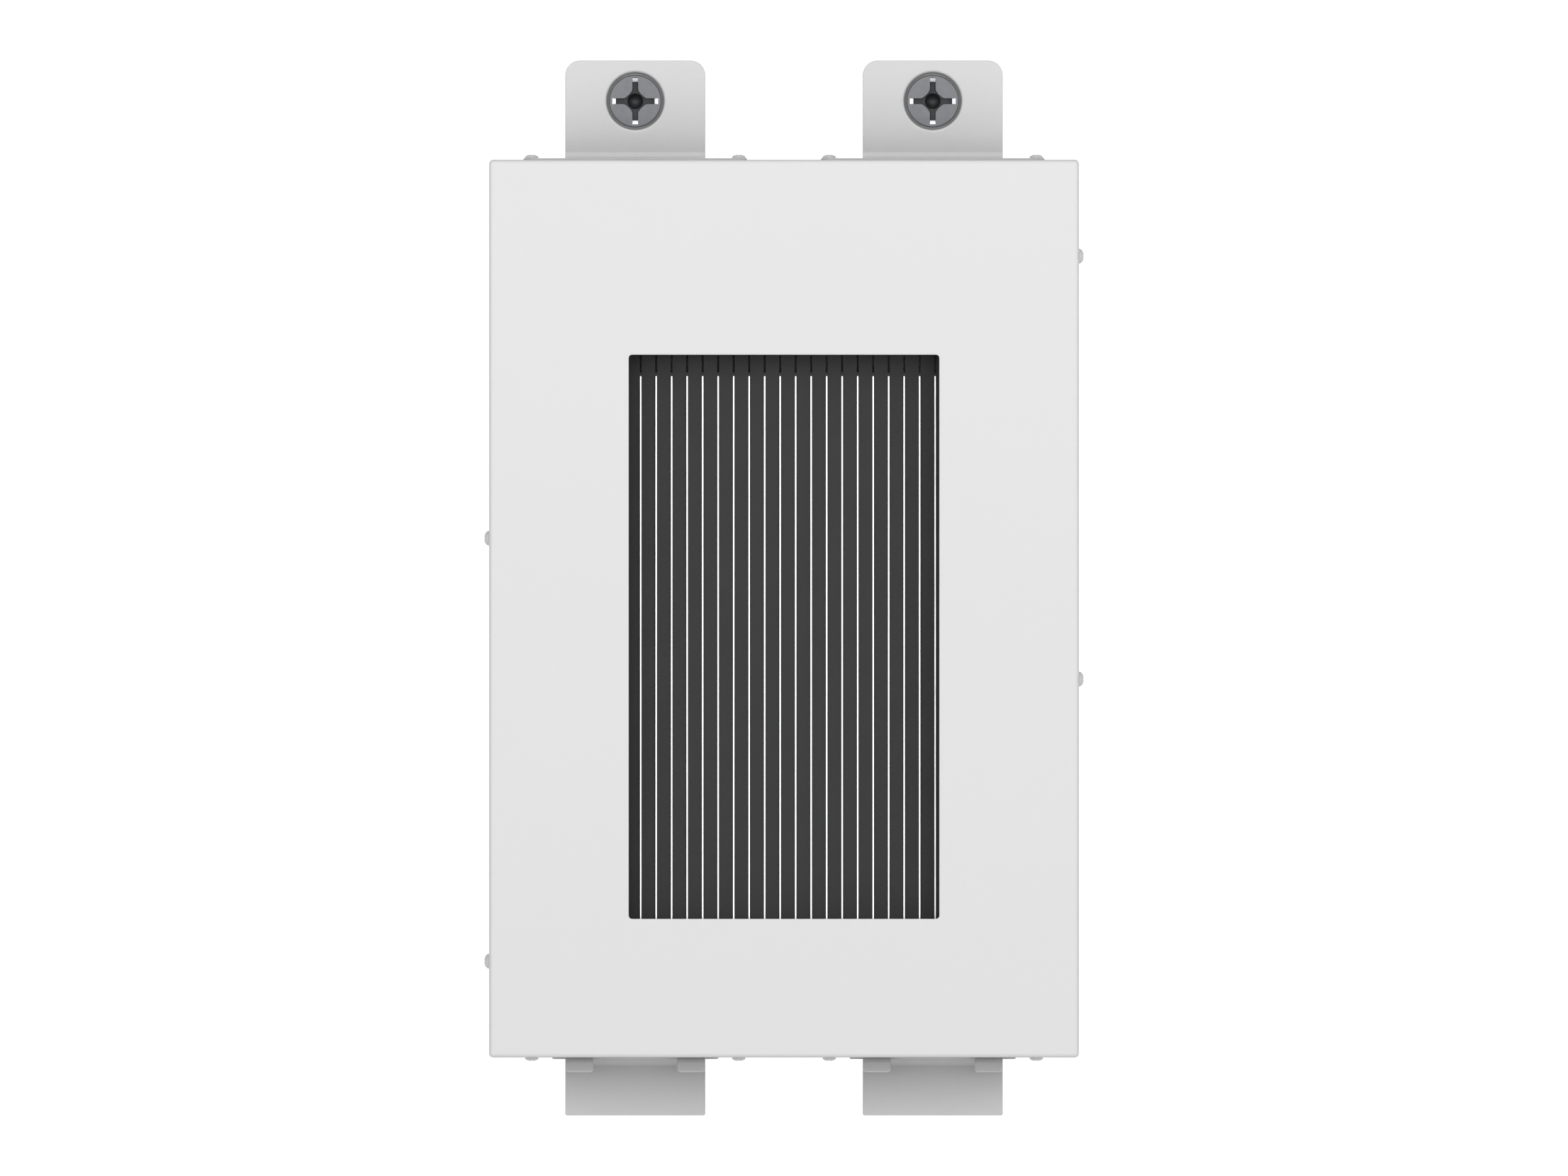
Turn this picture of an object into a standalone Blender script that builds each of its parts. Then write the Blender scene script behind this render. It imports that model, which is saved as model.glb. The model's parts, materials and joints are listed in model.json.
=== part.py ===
"""Micro inverter: a sheet-steel case that hangs on two screws, with a finned heatsink in its front window.

Frame: X to the right, +Z up, the front faces -Y. The origin is the centre of the flat rear face, which
lies against the wall. Sizes are in millimetres here and become metres when a mesh is made.
"""
import math

import bmesh
import bpy
from mathutils import Matrix, Vector
from mathutils.geometry import tessellate_polygon

MM = 0.001

# Case
CASE_WIDTH = 180.0
CASE_HEIGHT = 274.0
CASE_DEPTH = 50.0
COVER_SHEET = 1.0
COVER_DEPTH = 33.0           # how far the cover's walls reach back from its face
COVER_BEND = 1.1             # outer radius of the bends between face and walls
COVER_CORNER = 1.2           # outer radius of the welded wall corners
CHASSIS_SHEET = 1.5
CHASSIS_DEPTH = 36.0
CHASSIS_BEND = 2.0
CHASSIS_CORNER = 2.2
LEAST_CORNER = 0.05          # wall corners inside a bend don't get sharper than this

# Clearances
FIT_GAP = 0.3                # between pieces that fit beside or rest on each other
SEAT_GAP = 0.1               # under a screw or rivet head
HOLE_GAP = 0.25              # round a shank, on the radius

# Window in the front cover
WINDOW_SIDE_MARGIN = 42.6
WINDOW_TOP_MARGIN = 59.5
WINDOW_BOTTOM_MARGIN = 42.3
WINDOW_CORNER = 1.0
RECESS_DEPTH = 12.5          # from the cover's face to the guard plate's face

# Heatsink, its slotted guard plate and the gasket round the window
FIN_PITCH = 4.732
FIN_THICKNESS = 0.46
FIN_PATTERN_SHIFT = 1.2      # the fins sit off the centre line by this much
FIN_PROUD = 0.5              # how far the fin edges stand out of the guard plate
FIN_TOP_SETBACK = 6.5        # from the window's top edge to the fins' upper ends
FIN_BOTTOM_OVERRUN = 0.6     # fins run on below the window's bottom edge
FIN_EDGE_MARGIN = 1.0        # least distance from the window's side edge to a fin
FIN_HEIGHT = 11.0
SLOT_GAP = 0.08              # between a fin and the edge of its slot
SLOT_BRIDGE = 1.0            # web between a fin's slot and the short slot above it
SHORT_SLOT_OVERRUN = 3.0     # short slots run on above the window's top edge
GUARD_SHEET = 1.0
HEATSINK_MARGIN = 7.0        # heatsink and guard reach past the window by this much above and below
HEATSINK_BASE = 5.0
RAIL_THICKNESS = 4.0
RAIL_CLEARANCE = 5.1         # from the window's side edge to the heatsink's side rail
GASKET_SETBACK = 1.0         # from the window's edge to the gasket's inner wall
GASKET_WALL = 3.0

# Brackets
BRACKET_SHEET = 1.5
TAB_WIDTH = 42.7
HANG_TAB_RISE = 30.3
HANG_TAB_CORNER = 4.5
HOOK_TAB_DROP = 17.7
HOOK_TAB_CORNER = 0.6
TAB_BEND = 1.9               # inner radius of the bend between tab and foot
BEND_RELIEF = 0.4
FOOT_EDGE_GAP = 0.4          # between the foot's front edge and the cover's rear edge
HANG_FOOT_SCREW = 31.6       # from the bracket's centre line to a foot screw
HANG_FOOT_END = 2.5          # foot past its screw
HANG_FOOT_CORNER = 2.3
HOOK_FOOT_MARGIN = 4.0       # hook foot wider than its tab by this much on each side
HOOK_FOOT_CORNER = 1.0
EAR_WIDTH = 8.6
EAR_DROP = 4.5               # below the case
EAR_BEND = 1.0
EAR_CORNER = 1.0
HOOK_RIVET_OFFSET = 17.0

# Mounting screws in their dished seats
MOUNT_SCREW_SETBACK = 12.4   # from the tab's top edge to the screw's axis
MOUNT_HEAD_RADIUS = 8.0
MOUNT_HEAD_HEIGHT = 1.6
MOUNT_HEAD_EDGE = 0.35
MOUNT_SHANK_RADIUS = 4.0
MOUNT_SHANK_LENGTH = 13.5
MOUNT_TIP_CHAMFER = 0.8
DISH_DEPTH = 2.0
DISH_SLOPE = 1.3             # width of the slope from the dish's floor to its rim
DISH_LIP = 0.35              # rounding of the rim
DISH_CLEARANCE = 0.3         # between the head and the foot of the dish's slope
CROSS_SPAN = 13.6
CROSS_WIDTH = 1.75
CROSS_DEPTH = 1.2            # less than the head is high, so that the wings stay closed below
CROSS_FLOOR_SPAN = 11.6
CROSS_FLOOR_WIDTH = 1.3
CROSS_PIT_RADIUS = 2.7
CROSS_PIT_DEPTH = 4.6
CROSS_PIT_TIP = 1.0

# Dome-head case screws, rivets and grommets
DOME_RADIUS = 2.25
DOME_HEIGHT = 1.4
DOME_SHANK_RADIUS = 1.25
DOME_SHANK_LENGTH = 6.0
SIDE_SCREW_END = 29.4        # from the end of the case to the nearer side screw
SIDE_SCREW_PITCH = 129.1
COVER_SCREW_SETBACK = 8.0    # from the cover's rear edge to its screws
RIVET_RADIUS = 2.0
RIVET_HEIGHT = 0.9
RIVET_SHANK_RADIUS = 1.2
RIVET_TAIL = 1.2
GROMMET_RADIUS = 6.3
GROMMET_FLANGE = 1.1
GROMMET_NECK_RADIUS = 4.7
GROMMET_BORE_RADIUS = 2.9
GROMMET_MEMBRANE = 0.8
GROMMET_CHAMFER = 0.4
GROMMET_GAP = 0.4            # between neighbouring grommets
GROMMET_CLEARANCE = 0.75     # from an outer grommet to the foot of a hook bracket
GROMMET_ROW = 8.8            # from the rear face to the grommets' axes

# Circuit board and what stands on it
STANDOFF_HEIGHT = 6.0
STANDOFF_RADIUS = 3.0
STANDOFF_BORE_RADIUS = 1.3
BOARD_THICKNESS = 1.6
BOARD_CLEARANCE = 5.0        # from the chassis' inner walls to the board's edge
BOARD_CORNER = 2.0
INSULATION_THICKNESS = 0.5
INSULATION_CLEARANCE = 2.0
PILLAR_RADIUS = 3.2
PILLAR_INSET_X = 7.0         # from the heatsink's side to a pillar's axis
PILLAR_INSET_Z = 7.0
PILLAR_SCREW_RADIUS = 1.5
PILLAR_SCREW_HEAD_RADIUS = 2.6
PILLAR_SCREW_HEAD_HEIGHT = 1.8
PILLAR_SCREW_LENGTH = 4.4
PAD_THICKNESS = 0.5
PAD_MARGIN = 3.0
TRANSISTOR_COUNT = 4
TRANSISTOR_PITCH = 22.0
TRANSISTOR_WIDTH = 16.0
TRANSISTOR_HEIGHT = 21.0
TRANSISTOR_THICKNESS = 5.0
TRANSISTOR_CHAMFER = 0.8
TRANSISTOR_TAB = 2.6          # thin end of the mould, by the screw hole
TRANSISTOR_LEAD_ROOT = 1.0    # how far a lead runs into the mould
TRANSISTOR_ROW = 52.0        # from the heatsink's top edge down to the row
LEAD_PITCH = 5.0
LEAD_WIDTH = 1.2
LEAD_THICKNESS = 0.6
LEAD_REACH = 4.0
EDGE_KEEPOUT = 3.0           # bare strip along the board's edges
CORE_WIDTH = 42.0
CORE_HEIGHT = 32.0
CORE_THICKNESS = 14.0
CORE_LEG = 12.0
CORE_YOKE = 6.0
WINDING_OVERHANG = 7.0
CAPACITOR_COUNT = 4
CAPACITOR_RADIUS = 8.0
CAPACITOR_HEIGHT = 31.0
CAPACITOR_PITCH = 18.0
CAPACITOR_SHIFT = 3.0        # centre of the capacitor row, right of the middle
CAPACITOR_ROUNDING = 0.6
CAPACITOR_GROOVE = 0.8       # depth of the crimped groove
CAPACITOR_GROOVE_RISE = 2.6  # from the can's foot to its groove
CAPACITOR_SLEEVE_LIP = 2.0   # sleeve folded over the can's top by this much
FILM_SIZE = (26.0, 20.0, 12.0)
RELAY_SIZE = (16.0, 16.0, 29.0)
CHOKE_RING_RADIUS = 7.5
CHOKE_WIRE_RADIUS = 3.4
CHOKE_TURNS = 9
FUSE_RADIUS = 2.6
FUSE_LENGTH = 20.0
FUSE_CAP_LENGTH = 4.5
FUSE_TUBE_RADIUS = 2.288
CHOKE_DROP = 22.0            # from the window's middle down to the choke
RELAY_RISE = 30.0            # and up to the relay
FUSE_DROP = 60.0             # and down to the fuse
TERMINAL_SIZE = (30.0, 15.0, 13.0)
TERMINAL_POCKET = (6.0, 6.0)
TERMINAL_CHAMFER = 3.0
TERMINAL_FLOOR = 2.5         # under a pocket
TERMINAL_BACK = 3.0          # behind a pocket
CUT_OVERRUN = 1.0            # cutters reach past the face that they open by this much
TERMINAL_SHIFT = 48.0        # from the middle to each terminal block
CONTROL_BOARD_SIZE = (1.2, 22.0, 46.0)
CONTROL_CHIP_SIZE = (1.4, 10.0, 10.0)

ROUND_STEPS = 24
SMALL_STEPS = 12
CORNER_STEPS = 3
BEND_STEPS = 4

# Levels along Y, from the front face to the rear face
FACE_Y = -CASE_DEPTH
COVER_INNER_Y = FACE_Y + COVER_SHEET
COVER_EDGE_Y = FACE_Y + COVER_DEPTH
COVER_SCREW_Y = COVER_EDGE_Y - COVER_SCREW_SETBACK
GUARD_FRONT_Y = FACE_Y + RECESS_DEPTH
GUARD_REAR_Y = GUARD_FRONT_Y + GUARD_SHEET
FIN_TIP_Y = GUARD_FRONT_Y - FIN_PROUD
FIN_ROOT_Y = FIN_TIP_Y + FIN_HEIGHT
BASE_REAR_Y = FIN_ROOT_Y + HEATSINK_BASE
STANDOFF_Y = -CHASSIS_SHEET - STANDOFF_HEIGHT
BOARD_REAR_Y = STANDOFF_Y - FIT_GAP
BOARD_FRONT_Y = BOARD_REAR_Y - BOARD_THICKNESS
SEAT_Y = BOARD_FRONT_Y - FIT_GAP
FOOT_FRONT_Y = COVER_EDGE_Y + FOOT_EDGE_GAP
DISH_FLOOR_Y = -BRACKET_SHEET
TAB_FRONT_Y = DISH_FLOOR_Y - DISH_DEPTH

# Widths and heights worked out from the sizes above
CHASSIS_WIDTH = CASE_WIDTH - 2 * (COVER_SHEET + FIT_GAP)
CHASSIS_HEIGHT = CASE_HEIGHT - 2 * (COVER_SHEET + FIT_GAP)
FOOT_TOP = CHASSIS_HEIGHT / 2 + FIT_GAP + BRACKET_SHEET
GROMMET_PITCH = 2 * GROMMET_RADIUS + GROMMET_GAP
HOOK_FOOT_HALF = TAB_WIDTH / 2 + HOOK_FOOT_MARGIN
BRACKET_X = GROMMET_PITCH + GROMMET_RADIUS + GROMMET_CLEARANCE + HOOK_FOOT_HALF
MOUNT_SCREW_Z = CASE_HEIGHT / 2 + HANG_TAB_RISE - MOUNT_SCREW_SETBACK
WINDOW_WIDTH = CASE_WIDTH - 2 * WINDOW_SIDE_MARGIN
WINDOW_TOP = CASE_HEIGHT / 2 - WINDOW_TOP_MARGIN
WINDOW_BOTTOM = WINDOW_BOTTOM_MARGIN - CASE_HEIGHT / 2
WINDOW_Z = (WINDOW_TOP + WINDOW_BOTTOM) / 2
WINDOW_HEIGHT = WINDOW_TOP - WINDOW_BOTTOM
FIN_COUNT = 1 + int((WINDOW_WIDTH - 2 * (FIN_EDGE_MARGIN + FIN_PATTERN_SHIFT)) / FIN_PITCH)
FIN_TOP = WINDOW_TOP - FIN_TOP_SETBACK
FIN_BOTTOM = WINDOW_BOTTOM - FIN_BOTTOM_OVERRUN
HEATSINK_HALF = WINDOW_WIDTH / 2 + RAIL_CLEARANCE + RAIL_THICKNESS
HEATSINK_TOP = WINDOW_TOP + HEATSINK_MARGIN
HEATSINK_BOTTOM = WINDOW_BOTTOM - HEATSINK_MARGIN
BOARD_WIDTH = CHASSIS_WIDTH - 2 * (CHASSIS_SHEET + BOARD_CLEARANCE)
BOARD_HEIGHT = CHASSIS_HEIGHT - 2 * (CHASSIS_SHEET + BOARD_CLEARANCE)
TOP_ZONE_Z = (HEATSINK_TOP + BOARD_HEIGHT / 2) / 2
BOTTOM_ZONE_Z = (HEATSINK_BOTTOM - BOARD_HEIGHT / 2) / 2
SIDE_ZONE_X = (HEATSINK_HALF + BOARD_WIDTH / 2) / 2

FINISHES = {
    "white_paint": ((0.80, 0.80, 0.79, 1.0), 0.45, 0.0),
    "grey_paint": ((0.62, 0.62, 0.61, 1.0), 0.5, 0.0),
    "zinc_plated": ((0.36, 0.37, 0.39, 1.0), 0.38, 0.9),
    "black_coated": ((0.035, 0.035, 0.036, 1.0), 0.55, 0.0),
    "bare_aluminium": ((0.86, 0.87, 0.88, 1.0), 0.35, 1.0),
    "black_rubber": ((0.02, 0.02, 0.02, 1.0), 0.8, 0.0),
    "board_green": ((0.02, 0.16, 0.06, 1.0), 0.45, 0.0),
    "clear_film": ((0.75, 0.70, 0.55, 1.0), 0.4, 0.0),
    "grey_silicone": ((0.30, 0.36, 0.42, 1.0), 0.8, 0.0),
    "black_epoxy": ((0.03, 0.03, 0.03, 1.0), 0.5, 0.0),
    "ferrite": ((0.06, 0.06, 0.065, 1.0), 0.6, 0.0),
    "yellow_tape": ((0.80, 0.58, 0.08, 1.0), 0.35, 0.0),
    "capacitor_sleeve": ((0.03, 0.05, 0.12, 1.0), 0.35, 0.0),
    "grey_box_plastic": ((0.45, 0.47, 0.50, 1.0), 0.45, 0.0),
    "enamelled_copper": ((0.60, 0.24, 0.08, 1.0), 0.3, 0.8),
    "blue_plastic": ((0.04, 0.12, 0.42, 1.0), 0.45, 0.0),
    "ceramic_tube": ((0.82, 0.80, 0.74, 1.0), 0.4, 0.0),
    "green_plastic": ((0.05, 0.32, 0.12, 1.0), 0.45, 0.0),
}


# Outlines: lists of 2D points, counterclockwise

def circle(radius, steps, centre=(0.0, 0.0)):
    turns = [2 * math.pi * i / steps for i in range(steps)]
    return [(centre[0] + radius * math.cos(a), centre[1] + radius * math.sin(a)) for a in turns]


def arc(centre, radius, start, end, steps):
    """Points on an arc between two angles in degrees, both ends included."""
    angles = [math.radians(start + (end - start) * i / steps) for i in range(steps + 1)]
    return [(centre[0] + radius * math.cos(a), centre[1] + radius * math.sin(a)) for a in angles]


def rounded_rectangle(width, height, radius, centre=(0.0, 0.0)):
    x, y = width / 2 - radius, height / 2 - radius
    points = []
    for quarter, (sx, sy) in enumerate(((1, 1), (-1, 1), (-1, -1), (1, -1))):
        corner = (centre[0] + sx * x, centre[1] + sy * y)
        points += arc(corner, radius, 90 * quarter, 90 * quarter + 90, CORNER_STEPS)
    return points


def rectangle(low, high):
    return [(low[0], low[1]), (high[0], low[1]), (high[0], high[1]), (low[0], high[1])]


# Meshes

def make_mesh(name, points, faces):
    """A mesh in metres from points in millimetres, with every face pointing out."""
    mesh = bpy.data.meshes.new(name)
    shape = bmesh.new()
    verts = [shape.verts.new(Vector(p) * MM) for p in points]
    for face in faces:
        shape.faces.new([verts[i] for i in face])
    bmesh.ops.recalc_face_normals(shape, faces=shape.faces)
    shape.to_mesh(mesh)
    shape.free()
    return mesh


def slab_geometry(outline, holes, low, high):
    """Points (a, b, height) and faces of a flat slab with through holes."""
    loops = [outline] + list(holes)
    flat = [point for loop in loops for point in loop]
    count = len(flat)
    points = [(a, b, low) for a, b in flat] + [(a, b, high) for a, b in flat]
    triangles = tessellate_polygon([[Vector((a, b, 0.0)) for a, b in loop] for loop in loops])
    faces = [tuple(t) for t in triangles] + [tuple(i + count for i in reversed(t)) for t in triangles]
    start = 0
    for loop in loops:
        for i in range(len(loop)):
            here, there = start + i, start + (i + 1) % len(loop)
            faces.append((here, there, there + count, here + count))
        start += len(loop)
    return points, faces


def slab(name, outline, holes, low, high, axis="Y"):
    """A slab between two levels of one axis. The outline lies in XZ, YZ or XY."""
    points, faces = slab_geometry(outline, holes, low, high)
    place = {"X": lambda a, b, h: (h, a, b), "Y": lambda a, b, h: (a, h, b), "Z": lambda a, b, h: (a, b, h)}
    return make_mesh(name, [place[axis](*p) for p in points], faces)


def boxes(name, blocks):
    """One mesh of separate blocks, each given as its lowest and highest corner."""
    points, faces = [], []
    for low, high in blocks:
        base = len(points)
        points += [(x, y, z) for z in (low[2], high[2]) for y in (low[1], high[1]) for x in (low[0], high[0])]
        sides = ((0, 1, 3, 2), (4, 6, 7, 5), (0, 4, 5, 1), (2, 3, 7, 6), (0, 2, 6, 4), (1, 5, 7, 3))
        faces += [tuple(base + i for i in side) for side in sides]
    return make_mesh(name, points, faces)


def turned(name, profile, steps):
    """A solid of revolution about Y. The profile runs from end to end as (radius, y)."""
    points, rings = [], []
    for radius, y in profile:
        if radius == 0.0:
            rings.append([len(points)] * steps)
            points.append((0.0, y, 0.0))
        else:
            rings.append(list(range(len(points), len(points) + steps)))
            points += [(a, y, b) for a, b in circle(radius, steps)]
    faces = []
    closed = profile[0][0] > 0.0
    pairs = list(zip(rings, rings[1:])) + ([(rings[-1], rings[0])] if closed else [])
    for ring, following in pairs:
        for i in range(steps):
            j = (i + 1) % steps
            corners = [ring[i], ring[j], following[j], following[i]]
            faces.append(tuple(dict.fromkeys(corners)))
    return make_mesh(name, points, faces)


def lofted(name, loops):
    """A solid through loops of equally many points, closed at both ends."""
    count = len(loops[0])
    points = [point for loop in loops for point in loop]
    faces = [tuple(range(count)), tuple(range(len(points) - count, len(points)))]
    for layer in range(len(loops) - 1):
        for i in range(count):
            j = (i + 1) % count
            a, b = layer * count, (layer + 1) * count
            faces.append((a + i, a + j, b + j, b + i))
    return make_mesh(name, points, faces)


def combined(base, tools, operation):
    """The base mesh with each tool mesh cut away or joined on, by the exact Boolean solver."""
    work = bpy.data.objects.new("work", base)
    bpy.context.collection.objects.link(work)
    helpers = []
    for tool in tools:
        helper = bpy.data.objects.new("tool", tool)
        bpy.context.collection.objects.link(helper)
        modifier = work.modifiers.new("boolean", "BOOLEAN")
        modifier.operation = operation
        modifier.solver = "EXACT"
        modifier.object = helper
        helpers.append(helper)
    bpy.context.view_layer.update()
    evaluated = work.evaluated_get(bpy.context.evaluated_depsgraph_get())
    result = bpy.data.meshes.new_from_object(evaluated)
    for item in helpers + [work]:
        bpy.data.objects.remove(item, do_unlink=True)
    return result


def cylinders(name, radius, places, low, high, axis, steps=SMALL_STEPS):
    """Separate cylinders along one axis, as one mesh for cutting or joining."""
    shape = bmesh.new()
    for place in places:
        part = slab("cylinder", circle(radius, steps, place), [], low, high, axis)
        shape.from_mesh(part)
        bpy.data.meshes.remove(part)
    mesh = bpy.data.meshes.new(name)
    shape.to_mesh(mesh)
    shape.free()
    return mesh


# Objects

def add_piece(name, mesh, finish, location=(0.0, 0.0, 0.0), rotation=(0.0, 0.0, 0.0), smooth=None):
    """An object with its own material, placed in millimetres and degrees under the root empty."""
    colour, roughness, metallic = FINISHES[finish]
    material = bpy.data.materials.new(name + "_" + finish)
    material.use_nodes = True
    shader = material.node_tree.nodes["Principled BSDF"]
    shader.inputs["Base Color"].default_value = colour
    shader.inputs["Roughness"].default_value = roughness
    shader.inputs["Metallic"].default_value = metallic
    if mesh.users:
        mesh = mesh.copy()
    mesh.name = name
    mesh.materials.clear()
    mesh.materials.append(material)
    piece = bpy.data.objects.new(name, mesh)
    piece.location = Vector(location) * MM
    piece.rotation_euler = [math.radians(angle) for angle in rotation]
    bpy.context.collection.objects.link(piece)
    piece.parent = bpy.data.objects["micro_inverter"]
    if smooth:
        mesh.shade_smooth()
        mesh.set_sharp_from_angle(angle=math.radians(smooth))
    return piece


# Case

def pan(name, width, height, face_y, edge_y, sheet, bend, corner):
    """A folded sheet pan: a flat face with four walls that end at edge_y."""
    inward = math.copysign(1.0, edge_y - face_y)
    outer = [(0.0, edge_y)]
    for step in range(BEND_STEPS + 1):
        angle = math.radians(90 * step / BEND_STEPS)
        outer.append((bend * (1 - math.cos(angle)), face_y + inward * bend * (1 - math.sin(angle))))
    inner = [(sheet, face_y + inward * sheet), (sheet, edge_y)]
    loops = []
    for inset, y in outer + inner:
        radius = max(corner - inset, LEAST_CORNER)
        outline = rounded_rectangle(width - 2 * inset, height - 2 * inset, radius)
        loops.append([(x, y, z) for x, z in outline])
    count = len(loops[0])
    points = [point for loop in loops for point in loop]
    faces = []
    floor = len(outer) - 1
    for layer in range(len(loops)):
        following = (layer + 1) % len(loops)
        if layer == floor:
            continue
        for i in range(count):
            j = (i + 1) % count
            a, b = layer * count, following * count
            faces.append((a + i, a + j, b + j, b + i))
    faces.append(tuple(range(floor * count, (floor + 1) * count)))
    faces.append(tuple(range((floor + 1) * count, (floor + 2) * count)))
    return make_mesh(name, points, faces)


def side_screw_places():
    """(side, z) of the four screws in the case's side walls, which are half a turn apart."""
    low = SIDE_SCREW_END - CASE_HEIGHT / 2
    return [(side, -side * z) for side in (-1, 1) for z in (low, low + SIDE_SCREW_PITCH)]


def end_screw_columns():
    """x of the four screws along the top or the bottom of the case."""
    return [side * (BRACKET_X + shift) for side in (-1, 1) for shift in (HANG_FOOT_SCREW, -HANG_FOOT_SCREW)]


def build_cover():
    cover = pan("front_cover", CASE_WIDTH, CASE_HEIGHT, FACE_Y, COVER_EDGE_Y,
                COVER_SHEET, COVER_BEND, COVER_CORNER)
    outline = rounded_rectangle(WINDOW_WIDTH, WINDOW_HEIGHT, WINDOW_CORNER, (0.0, WINDOW_Z))
    window = slab("window", outline, [], FACE_Y - COVER_SHEET, FACE_Y + 2 * COVER_SHEET)
    hole = DOME_SHANK_RADIUS + HOLE_GAP
    wall_x, wall_z = CASE_WIDTH / 2 - COVER_SHEET / 2, CASE_HEIGHT / 2 - COVER_SHEET / 2
    tools = [window]
    for side, z in side_screw_places():
        span = sorted((side * (wall_x - COVER_SHEET), side * (wall_x + COVER_SHEET)))
        tools.append(cylinders("hole", hole, [(COVER_SCREW_Y, z)], *span, "X"))
    low_span = (-wall_z - COVER_SHEET, -wall_z + COVER_SHEET)
    tools.append(cylinders("holes", hole, [(x, COVER_SCREW_Y) for x in end_screw_columns()], *low_span, "Z"))
    add_piece("front_cover", combined(cover, tools, "DIFFERENCE"), "white_paint")


def pillar_places():
    """(x, z) of the four pillars that carry the board and the heatsink."""
    x = HEATSINK_HALF - PILLAR_INSET_X
    return [(side * x, z) for z in (HEATSINK_TOP - PILLAR_INSET_Z, HEATSINK_BOTTOM + PILLAR_INSET_Z)
            for side in (-1, 1)]


def grommet_columns():
    """x of the two direct-current inlets and of the mains outlet."""
    return [-GROMMET_PITCH, 0.0, GROMMET_PITCH]


def foot_screw_y():
    """Middle of the flat part of a hanging bracket's foot."""
    return (FOOT_FRONT_Y + TAB_FRONT_Y - TAB_BEND) / 2


def build_chassis():
    chassis = pan("rear_chassis", CHASSIS_WIDTH, CHASSIS_HEIGHT, 0.0, -CHASSIS_DEPTH,
                  CHASSIS_SHEET, CHASSIS_BEND, CHASSIS_CORNER)
    root = -CHASSIS_SHEET / 2
    posts = cylinders("posts", STANDOFF_RADIUS, pillar_places(), STANDOFF_Y, root, "Y")
    chassis = combined(chassis, [posts], "UNION")
    hole = DOME_SHANK_RADIUS + HOLE_GAP
    wall_x, wall_z = (CHASSIS_WIDTH - CHASSIS_SHEET) / 2, (CHASSIS_HEIGHT - CHASSIS_SHEET) / 2
    low_span = (-wall_z - CHASSIS_SHEET, -wall_z + CHASSIS_SHEET)
    top_span = (wall_z - CHASSIS_SHEET, wall_z + CHASSIS_SHEET)
    tools = [cylinders("bores", STANDOFF_BORE_RADIUS, pillar_places(), STANDOFF_Y - 1, -CHASSIS_SHEET, "Y")]
    for side, z in side_screw_places():
        span = sorted((side * (wall_x - CHASSIS_SHEET), side * (wall_x + CHASSIS_SHEET)))
        tools.append(cylinders("hole", hole, [(COVER_SCREW_Y, z)], *span, "X"))
    tools.append(cylinders("holes", hole, [(x, COVER_SCREW_Y) for x in end_screw_columns()], *low_span, "Z"))
    tools.append(cylinders("holes", hole, [(x, foot_screw_y()) for x in end_screw_columns()], *top_span, "Z"))
    rivets = [(x, foot_screw_y()) for x in rivet_columns()]
    tools.append(cylinders("holes", RIVET_SHANK_RADIUS + HOLE_GAP, rivets, *low_span, "Z"))
    grommets = [(x, -GROMMET_ROW) for x in grommet_columns()]
    tools.append(cylinders("holes", GROMMET_NECK_RADIUS + FIT_GAP, grommets, *low_span, "Z"))
    add_piece("rear_chassis", combined(chassis, tools, "DIFFERENCE"), "white_paint")


# Brackets: each starts as a flat blank of (x, run, thickness) and is then folded

def fold(x, run, depth, bends):
    """A point of the blank after folding.

    The blank's run goes down the tab, round the first bend, forward along the foot, and for a hook round
    a second bend into the ears. depth counts from the face on the inside of the bends.
    """
    for start, radius, corner_y, corner_z, quadrant in reversed(bends):
        length = radius * math.pi / 2
        if run < start:
            continue
        angle = min((run - start) / length, 1.0) * math.pi / 2
        beyond = max(run - start - length, 0.0)
        reach = radius + depth
        if quadrant == "tab":
            y = corner_y + reach * math.cos(angle) - beyond
            z = corner_z - reach * math.sin(angle)
        else:
            y = corner_y - reach * math.sin(angle)
            z = corner_z - reach * math.cos(angle) + beyond
        return (x, y, z)
    start, radius, corner_y, corner_z, _ = bends[0]
    return (x, corner_y + radius + depth, corner_z + start - run)


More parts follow.
